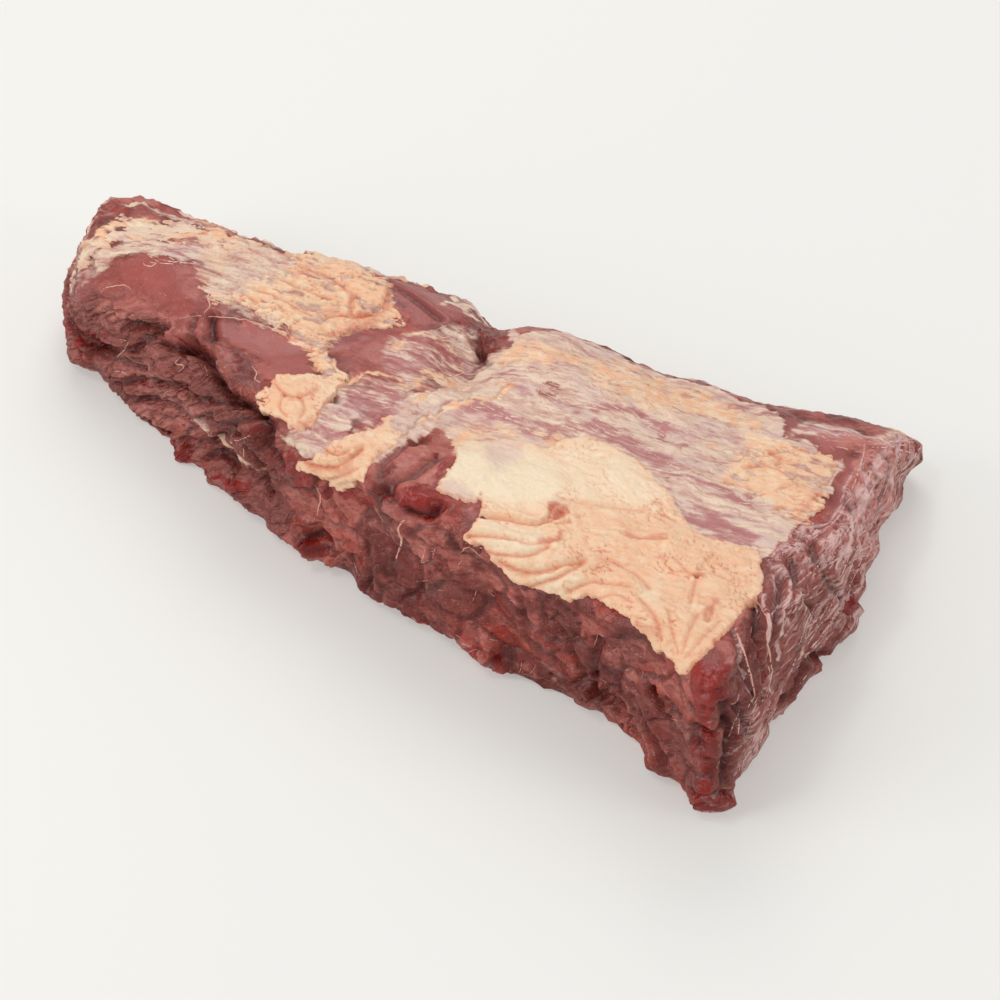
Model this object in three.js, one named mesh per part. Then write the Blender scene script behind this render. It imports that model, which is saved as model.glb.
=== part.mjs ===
// A whole, uncut piece of beef flap: one raw, tapering block of meat lying fat side up.
//
// Millimetres, +Z up. +X runs from the narrow tail to the wide, obliquely cut butt end, and -Y is the tall
// long side where the knife went across the grain. The far side (+Y) thins out to a wedge. The origin is the
// centre of the bounding box of the underside, which lies flat on z = 0.

import * as THREE from 'three';
import { ImprovedNoise } from 'three/addons/math/ImprovedNoise.js';
import { mergeVertices } from 'three/addons/utils/BufferGeometryUtils.js';

const { clamp, lerp, smoothstep } = THREE.MathUtils;

// ---- Driving dimensions ----

const TAIL_NEAR_X = -163; // the narrow end at its near corner
const TAIL_FAR_X = -185; // the same end at its far corner
const BUTT_NEAR_X = 172; // the cut end at its tall near corner
const BUTT_FAR_X = 139; // the same cut at its thin far corner
const BUTT_BULGE = 8; // how far the cut end swells between those corners

// Sections across the meat, from the tail (0) to the butt (1): the near and far edges of its underside,
// its heights over those edges before they are rounded off, and the swell of the top between them.
const SECTIONS = [
  { at: 0.0, near: -53, far: 17, nearHeight: 44, farHeight: 40, crown: 3 },
  { at: 0.06, near: -57, far: 16, nearHeight: 47, farHeight: 41, crown: 4 },
  { at: 0.14, near: -63, far: 15, nearHeight: 51, farHeight: 43, crown: 4 },
  { at: 0.27, near: -71, far: 15, nearHeight: 53, farHeight: 43, crown: 4 },
  { at: 0.42, near: -80, far: 36, nearHeight: 52, farHeight: 40, crown: 5 },
  { at: 0.56, near: -84, far: 48, nearHeight: 57, farHeight: 38, crown: 5 },
  { at: 0.72, near: -84, far: 61, nearHeight: 56, farHeight: 34, crown: 4 },
  { at: 0.86, near: -83, far: 70, nearHeight: 57, farHeight: 31, crown: 4 },
  { at: 0.94, near: -88, far: 84, nearHeight: 60, farHeight: 28, crown: 3 },
  { at: 1.0, near: -93, far: 93, nearHeight: 66, farHeight: 25, crown: 2 },
];

// How far each edge of the block is rounded off, at the tail and at the butt: across (Y) and up (Z).
const NEAR_TOP_ROUND = { tail: [28, 28], butt: [5, 5], from: 0.25, to: 0.52 };
const FAR_TOP_ROUND = { tail: [20, 20], butt: [30, 20], from: 0.2, to: 0.6 };
const UNDER_ROUND = { tail: [16, 10], butt: [7, 9], from: 0.05, to: 0.3 };
const TAIL_ROUND_X = 28;
const BUTT_ROUND_X = 7;
const MOST_ROUND = 0.8; // of the height, for the rounding above; the rest is below
const ROUND_CHANGE = [0.2, 0.8]; // shares of the height between which the lower rounding turns into the upper

// Swellings on the surface: centre, radii and height.
const MOUNDS = [
  { centre: [-98, -32, 46], radii: [44, 22, 26], height: 3.5 }, // smooth muscle of the tail
  { centre: [-70, 8, 50], radii: [46, 17, 20], height: 4 }, // fat lump on the tail's back
  { centre: [-20, 12, 46], radii: [24, 16, 20], height: 3 }, // end of the tail muscle
  { centre: [30, 18, 46], radii: [26, 20, 20], height: 5 }, // shoulder where the block begins
  { centre: [-18, -58, 42], radii: [20, 16, 16], height: 4 }, // lump under the small fat patches
  { centre: [168, -82, 30], radii: [12, 14, 34], height: 4 }, // raw near corner of the butt
  { centre: [128, 50, 34], radii: [28, 28, 20], height: 3 },
];

// Clefts and folds: the line they follow, their width and their depth.
const CREASES = [
  { along: [[-14, 42, 30], [-6, 30, 38], [2, 10, 44], [14, -16, 50]], width: 9, depth: 8 }, // tail to block
  { along: [[14, -78, 40], [22, -56, 50], [30, -44, 56]], width: 12, depth: 6 }, // torn notch in the fat
  { along: [[-122, -54, 30], [-88, -60, 34], [-58, -62, 36], [-44, -72, 30]], width: 7, depth: 6 },
  { along: [[-50, -66, 34], [-46, -52, 44], [-36, -40, 48]], width: 7, depth: 2.5 },
  { along: [[-140, -56, 24], [-104, -66, 18], [-78, -72, 22], [-50, -76, 16]], width: 6, depth: 5 },
  { along: [[-96, -66, 10], [-60, -74, 12], [-30, -79, 22], [0, -81, 18]], width: 6, depth: 5 },
  { along: [[24, -82, 44], [40, -84, 24], [52, -84, 6]], width: 6, depth: 4 },
  { along: [[78, -86, 34], [92, -85, 8]], width: 6, depth: 3.5 },
  { along: [[146, -88, 40], [160, -92, 8]], width: 6, depth: 3.5 },
  { along: [[174, -62, 54], [176, -52, 30], [174, -48, 8]], width: 6, depth: 4.5 },
  { along: [[166, -24, 48], [170, -34, 26], [170, -44, 10]], width: 6, depth: 3.5 },
  { along: [[152, 22, 40], [160, 0, 26], [166, -16, 8]], width: 6, depth: 3.5 },
  { along: [[-160, -2, 46], [-120, 4, 50], [-96, 18, 46]], width: 7, depth: 4 }, // groove beside the tail's back
];

// Shreds of meat that stick out along the bottom edge, as swellings of the same kind.
const SHREDS = [
  { centre: [-144, -54, 7], radii: [8, 8, 7], height: 3 },
  { centre: [-20, -82, 5], radii: [10, 8, 7], height: 5 },
  { centre: [-2, -84, 5], radii: [8, 8, 6], height: 4 },
  { centre: [74, -88, 5], radii: [8, 8, 7], height: 6 },
  { centre: [172, -92, 6], radii: [9, 9, 8], height: 5 },
  { centre: [164, 2, 6], radii: [7, 9, 7], height: 5 },
  { centre: [134, 82, 12], radii: [12, 10, 9], height: 3 },
];

// Uneven lumps of the flesh: their size along X, Y and Z, and how far they stand out.
const FLESH_LUMPS = { size: [26, 24, 20], height: 2.6 };
const CUT_LUMPS = { size: [20, 18, 17], height: 3 }; // the side cut across the grain
const FIBRE_RIDGES = { size: [44, 30, 12], height: 2.6 }; // along the tail's side
const FLAT_UNDER = [1, 7]; // the relief sets in between these heights, above the flat underside
const NEAR_SIDE = [0.3, 0.8]; // a face belongs to the near side as its normal leans this far towards -Y
const BUTT_END = [0.4, 0.9]; // and to the butt end as it leans this far towards +X
const TAIL_TO_BLOCK = [-50, 10]; // X between which the tail's side gives way to the block's

const GRID = [64, 28, 11]; // facets along the length, across and up

// ---- Shape ----

const noise = new ImprovedNoise();

/** 0 at shares 0 and 1, rising to 1 half way between them. */
function arch(share) {
  return 4 * share * (1 - share);
}

/** A value of the sections at a share of the length, on a smooth curve through them all. */
function section(key, share) {
  const next = clamp(SECTIONS.findIndex((row) => row.at >= share), 1, SECTIONS.length - 1);
  const slope = (i) => {
    const a = SECTIONS[Math.max(i - 1, 0)];
    const b = SECTIONS[Math.min(i + 1, SECTIONS.length - 1)];
    return (b[key] - a[key]) / (b.at - a.at);
  };
  const [a, b] = [SECTIONS[next - 1], SECTIONS[next]];
  const width = b.at - a.at;
  const t = (share - a.at) / width;
  const rise = b[key] - a[key];
  const bend = (slope(next - 1) * width - rise) * (1 - t) - (slope(next) * width - rise) * t;
  return a[key] + rise * t + t * (1 - t) * bend;
}

/** The rounding across and up of a long edge, from the tail's soft one to the butt's. */
function edgeRound({ tail, butt, from, to }, share) {
  const t = smoothstep(share, from, to);
  return [lerp(tail[0], butt[0], t), lerp(tail[1], butt[1], t)];
}

/** The height of the block at a share of its length and of its width, before its edges are rounded off. */
function heightAt(share, across) {
  const edges = lerp(section('nearHeight', share), section('farHeight', share), across);
  return edges + section('crown', share) * arch(across);
}

/** Rounds off the edges of the 2 x 2 x 2 box at one of its points, by the sizes of the block there. */
function roundedBox(point) {
  const share = (point.x + 1) / 2;
  const across = (point.y + 1) / 2;
  const upper = smoothstep((point.z + 1) / 2, ...ROUND_CHANGE);
  const [nearY, nearZ] = edgeRound(NEAR_TOP_ROUND, share);
  const [farY, farZ] = edgeRound(FAR_TOP_ROUND, share);
  const [underY, underZ] = edgeRound(UNDER_ROUND, share);
  const halfSize = new THREE.Vector3(
    (BUTT_NEAR_X - TAIL_NEAR_X) / 2,
    (section('far', share) - section('near', share)) / 2,
    heightAt(share, across) / 2,
  );
  const topZ = Math.min(lerp(nearZ, farZ, across), MOST_ROUND * 2 * halfSize.z);
  const lowRound = new THREE.Vector3(
    TAIL_ROUND_X,
    lerp(underY, nearY, upper),
    Math.min(underZ, (1 - MOST_ROUND) * 2 * halfSize.z),
  ).divide(halfSize);
  const highRound = new THREE.Vector3(BUTT_ROUND_X, lerp(underY, farY, upper), topZ).divide(halfSize);

  const core = point.clone().clamp(lowRound.clone().subScalar(1), highRound.clone().negate().addScalar(1));
  const outward = point.clone().sub(core);
  const round = new THREE.Vector3(
    outward.x < 0 ? lowRound.x : highRound.x,
    outward.y < 0 ? lowRound.y : highRound.y,
    outward.z < 0 ? lowRound.z : highRound.z,
  );
  outward.divide(round);
  outward.divideScalar(Math.max(outward.length(), 1));
  return outward.multiply(round).add(core);
}

/** Moves a point of the rounded box onto the tapering block. */
function ontoBlock(point) {
  const share = (point.x + 1) / 2;
  const across = (point.y + 1) / 2;
  const tailX = lerp(TAIL_NEAR_X, TAIL_FAR_X, across);
  const buttX = lerp(BUTT_NEAR_X, BUTT_FAR_X, across) + BUTT_BULGE * arch(across);
  return new THREE.Vector3(
    lerp(tailX, buttX, share),
    lerp(section('near', share), section('far', share), across),
    heightAt(share, across) * (point.z + 1) / 2,
  );
}

/** 1 at the centre of a mound, falling smoothly to 0 at twice its radii. */
function inMound(point, { centre, radii }) {
  const away = point.clone().sub(new THREE.Vector3(...centre)).divide(new THREE.Vector3(...radii));
  return Math.exp(-away.lengthSq());
}

/** 1 on a crease's line, falling to 0 beyond its width. */
function inCrease(point, { along, width }) {
  const closest = new THREE.Vector3();
  let distance = Infinity;
  for (let i = 1; i < along.length; i += 1) {
    const piece = new THREE.Line3(new THREE.Vector3(...along[i - 1]), new THREE.Vector3(...along[i]));
    piece.closestPointToPoint(point, true, closest);
    distance = Math.min(distance, closest.distanceTo(point));
  }
  return Math.exp(-((distance / width) ** 2));
}

/** Smooth noise from -1 to 1 in lumps of the given size. */
function lumps(point, { size, height }) {
  return height * noise.noise(point.x / size[0], point.y / size[1], point.z / size[2]);
}

/** How far the surface stands out at a point of the block with this normal. */
function relief(point, normal) {
  const nearSide = smoothstep(-normal.y, ...NEAR_SIDE);
  const buttEnd = smoothstep(normal.x, ...BUTT_END);
  const tailHalf = 1 - smoothstep(point.x, ...TAIL_TO_BLOCK);
  let out = lumps(point, FLESH_LUMPS);
  out += Math.max(nearSide * (1 - tailHalf), buttEnd) * lumps(point, CUT_LUMPS);
  out += nearSide * tailHalf * lumps(point, FIBRE_RIDGES);
  for (const mound of [...MOUNDS, ...SHREDS]) {
    out += mound.height * inMound(point, mound);
  }
  for (const crease of CREASES) {
    out -= crease.depth * inCrease(point, crease);
  }
  return out;
}

function fleshGeometry() {
  const geometry = new THREE.BoxGeometry(2, 2, 2, ...GRID);
  geometry.deleteAttribute('normal');
  geometry.deleteAttribute('uv');
  const flesh = mergeVertices(geometry);
  const position = flesh.getAttribute('position');
  const point = new THREE.Vector3();
  for (let i = 0; i < position.count; i += 1) {
    point.fromBufferAttribute(position, i);
    position.setXYZ(i, ...ontoBlock(roundedBox(point)));
  }
  flesh.computeVertexNormals();
  const normals = flesh.getAttribute('normal');
  const normal = new THREE.Vector3();
  for (let i = 0; i < position.count; i += 1) {
    point.fromBufferAttribute(position, i);
    normal.fromBufferAttribute(normals, i);
    const share = smoothstep(point.z, ...FLAT_UNDER);
    point.addScaledVector(normal, share * relief(point, normal));
    position.setXYZ(i, point.x, point.y, Math.max(point.z, 0));
  }
  flesh.deleteAttribute('normal');
  flesh.computeBoundingBox();
  const middle = flesh.boundingBox.getCenter(new THREE.Vector3());
  flesh.translate(-middle.x, -middle.y, 0);
  flesh.computeVertexNormals();
  return flesh;
}

const rawBeef = new THREE.MeshStandardMaterial({ color: 0x7c3a3a, roughness: 0.45, metalness: 0 });

const steak = new THREE.Mesh(fleshGeometry(), rawBeef);
steak.name = 'flap_steak';

const part = new THREE.Group();
part.add(steak);

export default part;
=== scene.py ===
"""A whole raw beef flap in Blender 4.5: its lean, fat, silverskin and sinew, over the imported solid.

Run as a script. Each operator makes one piece or one group of like pieces, in metres, in the row frame:
+X from the tail to the butt end, -Y the tall side cut across the grain, +Z up.
"""

import math

import bpy
import numpy as np
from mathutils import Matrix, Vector, noise
from mathutils.bvhtree import BVHTree


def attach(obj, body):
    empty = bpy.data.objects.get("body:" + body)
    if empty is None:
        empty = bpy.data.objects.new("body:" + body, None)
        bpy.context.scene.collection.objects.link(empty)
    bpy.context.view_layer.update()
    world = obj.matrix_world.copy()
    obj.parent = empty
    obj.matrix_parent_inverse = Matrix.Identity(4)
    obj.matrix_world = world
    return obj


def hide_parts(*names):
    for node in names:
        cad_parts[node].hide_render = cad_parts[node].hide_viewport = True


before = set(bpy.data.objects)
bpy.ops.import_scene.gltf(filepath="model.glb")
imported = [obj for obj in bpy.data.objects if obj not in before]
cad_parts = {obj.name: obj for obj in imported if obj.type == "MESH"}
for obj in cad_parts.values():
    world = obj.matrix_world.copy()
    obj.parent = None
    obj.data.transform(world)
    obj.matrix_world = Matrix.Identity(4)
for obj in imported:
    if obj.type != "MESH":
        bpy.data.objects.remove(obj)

bl_info = {
    "name": "Beef flap",
    "version": (1, 0, 0),
    "blender": (4, 5, 0),
    "location": "View3D > Sidebar > Beef flap",
    "description": "Dresses the packed beef flap with lean, fat, silverskin and sinew",
    "category": "Object",
}

NODE = "flap_steak"
BODY = "root"
MM = 0.001
CREASE_RISE = 29  # degrees by which the creases of the tail's side rise towards the butt
TINY = 1e-9
NOISE_SEED = 1  # without one, Blender draws its vector noise anew in each session
WELD = MM / 100  # closer than this is the same place
LIP_WIDTH = 1.1  # how wide the lips of a crease are, in its half widths
STEEP = 0.55  # the least share of a normal along the table on the tall side and the butt

# ---- The photograph's camera, in the row frame ----

PICTURE = 1000  # pixels, both ways
AZIMUTH = math.radians(38)
ELEVATION = math.radians(42)
LENS = 85  # millimetres, on a sensor 36 wide
SENSOR = 36
DISTANCE = 0.85
TARGET = Vector((0.03057, -0.01188, 0.0))
FALL_BACK_HEIGHT = 0.03  # a pixel beside the meat is placed at this height


def ink(red, green, blue):
    """A linear colour from the 0 to 255 values that a screen shows."""
    shares = [value / 255 for value in (red, green, blue)]
    return tuple(s / 12.92 if s <= 0.04045 else ((s + 0.055) / 1.055) ** 2.4 for s in shares)


# ---- Numbers and lines ----

def smooth(low, high, value):
    """0 below low, 1 above high, and a smooth step between them."""
    share = np.clip((value - low) / (high - low), 0, 1)
    return share * share * (3 - 2 * share)


def lumps(points, size, octaves=1, seed=0.0):
    """Smooth noise from about -1 to 1 at points in millimetres, in lumps of the given size."""
    scaled = points / np.asarray(size, float) + seed
    return np.array([noise.fractal(p, 1.0, 2.0, octaves) for p in scaled.tolist()]) * 1.6


def puffs(values, crease=0.15):
    """Turns smooth noise into folds: 0 in narrow creases where it changes sign, near 1 between them."""
    return np.abs(values) / (np.abs(values) + crease) * (1 + crease)


def seams(points, size, seed=0.0, width=0.12, octaves=3):
    """1 in narrow wandering creases of points in millimetres, and 0 between them."""
    return smooth(width, 0.0, np.abs(lumps(points, size, octaves, seed)))


def pushed(points, size, reach, seed=0.0):
    """Points in millimetres pushed about by smooth noise, so that patterns made from them wander."""
    return points + reach * np.array([noise.noise_vector(p) for p in (points / size + seed).tolist()])


def facets(points, size, seed=0.0):
    """Irregular cells of points in millimetres: how far each point is tilted, and its cell's tone and gap.

    The gap is 0 at the cell's border and grows towards its middle.
    """
    found = []
    for p in (points / np.asarray(size, float) + seed).tolist():
        distances, middles = noise.voronoi(p)
        tilt = (Vector(p) - middles[0]).dot(noise.noise_vector(middles[0] * 7.3))
        found.append((tilt, noise.noise(middles[0] * 5.1), distances[1] - distances[0]))
    return np.array(found).T


def along_muscle(points):
    """Points in millimetres in axes turned so that the first runs along the muscle on the top."""
    return np.stack([points[:, 0] * 0.96 + points[:, 1] * 0.28, points[:, 1] * 0.96 - points[:, 0] * 0.28,
                     points[:, 2]], 1)


def along_creases(points):
    """Points in millimetres in axes turned so that the first runs along the creases of the tail's side."""
    a = math.radians(CREASE_RISE)
    return np.stack([points[:, 0] * math.cos(a) + points[:, 2] * math.sin(a), points[:, 1],
                     points[:, 2] * math.cos(a) - points[:, 0] * math.sin(a)], 1)


def away(points, line):
    """The distance from each point to a polyline."""
    nearest = np.full(len(points), np.inf)
    for start, end in zip(line[:-1], line[1:]):
        step = end - start
        share = np.clip((points - start) @ step / max(step @ step, TINY), 0, 1)
        gap = np.linalg.norm(points - start - share[:, None] * step, axis=1)
        nearest = np.minimum(nearest, gap)
    return nearest


def inside(points, outline):
    """The distance from each point to a closed outline, positive inside it."""
    ring = np.vstack([outline, outline[:1]])
    within = np.zeros(len(points), bool)
    x, y = points[:, 0], points[:, 1]
    for (ax, ay), (bx, by) in zip(ring[:-1], ring[1:]):
        if ay == by:
            continue
        crosses = (ay > y) != (by > y)
        within ^= crosses & (x < ax + (y - ay) * (bx - ax) / (by - ay))
    return np.where(within, 1, -1) * away(points, ring)


def curve_through(points, steps=4, closed=False):
    """A smooth polyline through the points."""
    knots = np.asarray(points, float)
    if len(knots) < 3:
        return knots
    if closed:
        knots = np.vstack([knots[-1:], knots, knots[:2]])
    else:
        knots = np.vstack([2 * knots[0] - knots[1], knots, 2 * knots[-1] - knots[-2]])
    made = []
    for a, b, c, d in zip(knots[:-3], knots[1:-2], knots[2:-1], knots[3:]):
        for t in np.arange(steps) / steps:
            made.append(0.5 * (2 * b + (c - a) * t + (2 * a - 5 * b + 4 * c - d) * t * t
                               + (3 * b - a - 3 * c + d) * t ** 3))
    if not closed:
        made.append(knots[-2])
    return np.array(made)


def torn(pixels, points, reach=6.0):
    """Pixels pushed about by noise at their points in millimetres, so that painted edges are torn."""
    return pixels + reach * np.stack([lumps(points, 8, 4, 21.0), lumps(points, 8, 4, 27.0)], 1)


class PhotoCamera:
    """Where the photograph's pixels look from, and where points fall in it."""

    def __init__(self):
        a, e = AZIMUTH, ELEVATION
        self.back = np.array([math.sin(a) * math.cos(e), -math.cos(a) * math.cos(e), math.sin(e)])
        self.right = np.array([math.cos(a), math.sin(a), 0.0])
        self.up = np.cross(self.back, self.right)
        self.place = np.array(TARGET) + self.back * DISTANCE
        self.focal = LENS / SENSOR * PICTURE

    def pixels(self, points):
        """The pixels of points in metres."""
        seen = points - self.place
        depth = -(seen @ self.back)
        across = PICTURE / 2 + self.focal * (seen @ self.right) / depth
        down = PICTURE / 2 - self.focal * (seen @ self.up) / depth
        return np.stack([across, down], 1)

    def ray(self, pixel):
        """The direction in which a pixel looks."""
        across = (pixel[0] - PICTURE / 2) / self.focal
        down = (pixel[1] - PICTURE / 2) / self.focal
        return Vector(across * self.right - down * self.up - self.back).normalized()


CAMERA = PhotoCamera()


# ---- Shapes read from the photograph, in its pixels ----

def area(points, soft=4, amount=1.0):
    """A region to paint: its outline, how soft its edge is and how strong it is."""
    return {"points": curve_through(points, 3, closed=True), "soft": soft, "amount": amount, "closed": True}


def line(points, width=3, soft=2, amount=1.0):
    """A stroke to paint: its line, half width, softness and strength."""
    made = {"points": curve_through(points), "soft": soft, "amount": amount, "closed": False}
    return {**made, "width": width}


def paint(pixels, shapes):
    """The strongest of the shapes at each pixel, from 0 to 1."""
    value = np.zeros(len(pixels))
    for shape in shapes:
        if shape["closed"]:
            depth = inside(pixels, shape["points"])
        else:
            depth = shape["width"] - away(pixels, shape["points"])
        value = np.maximum(value, shape["amount"] * smooth(-shape["soft"], shape["soft"], depth))
    return value


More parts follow.
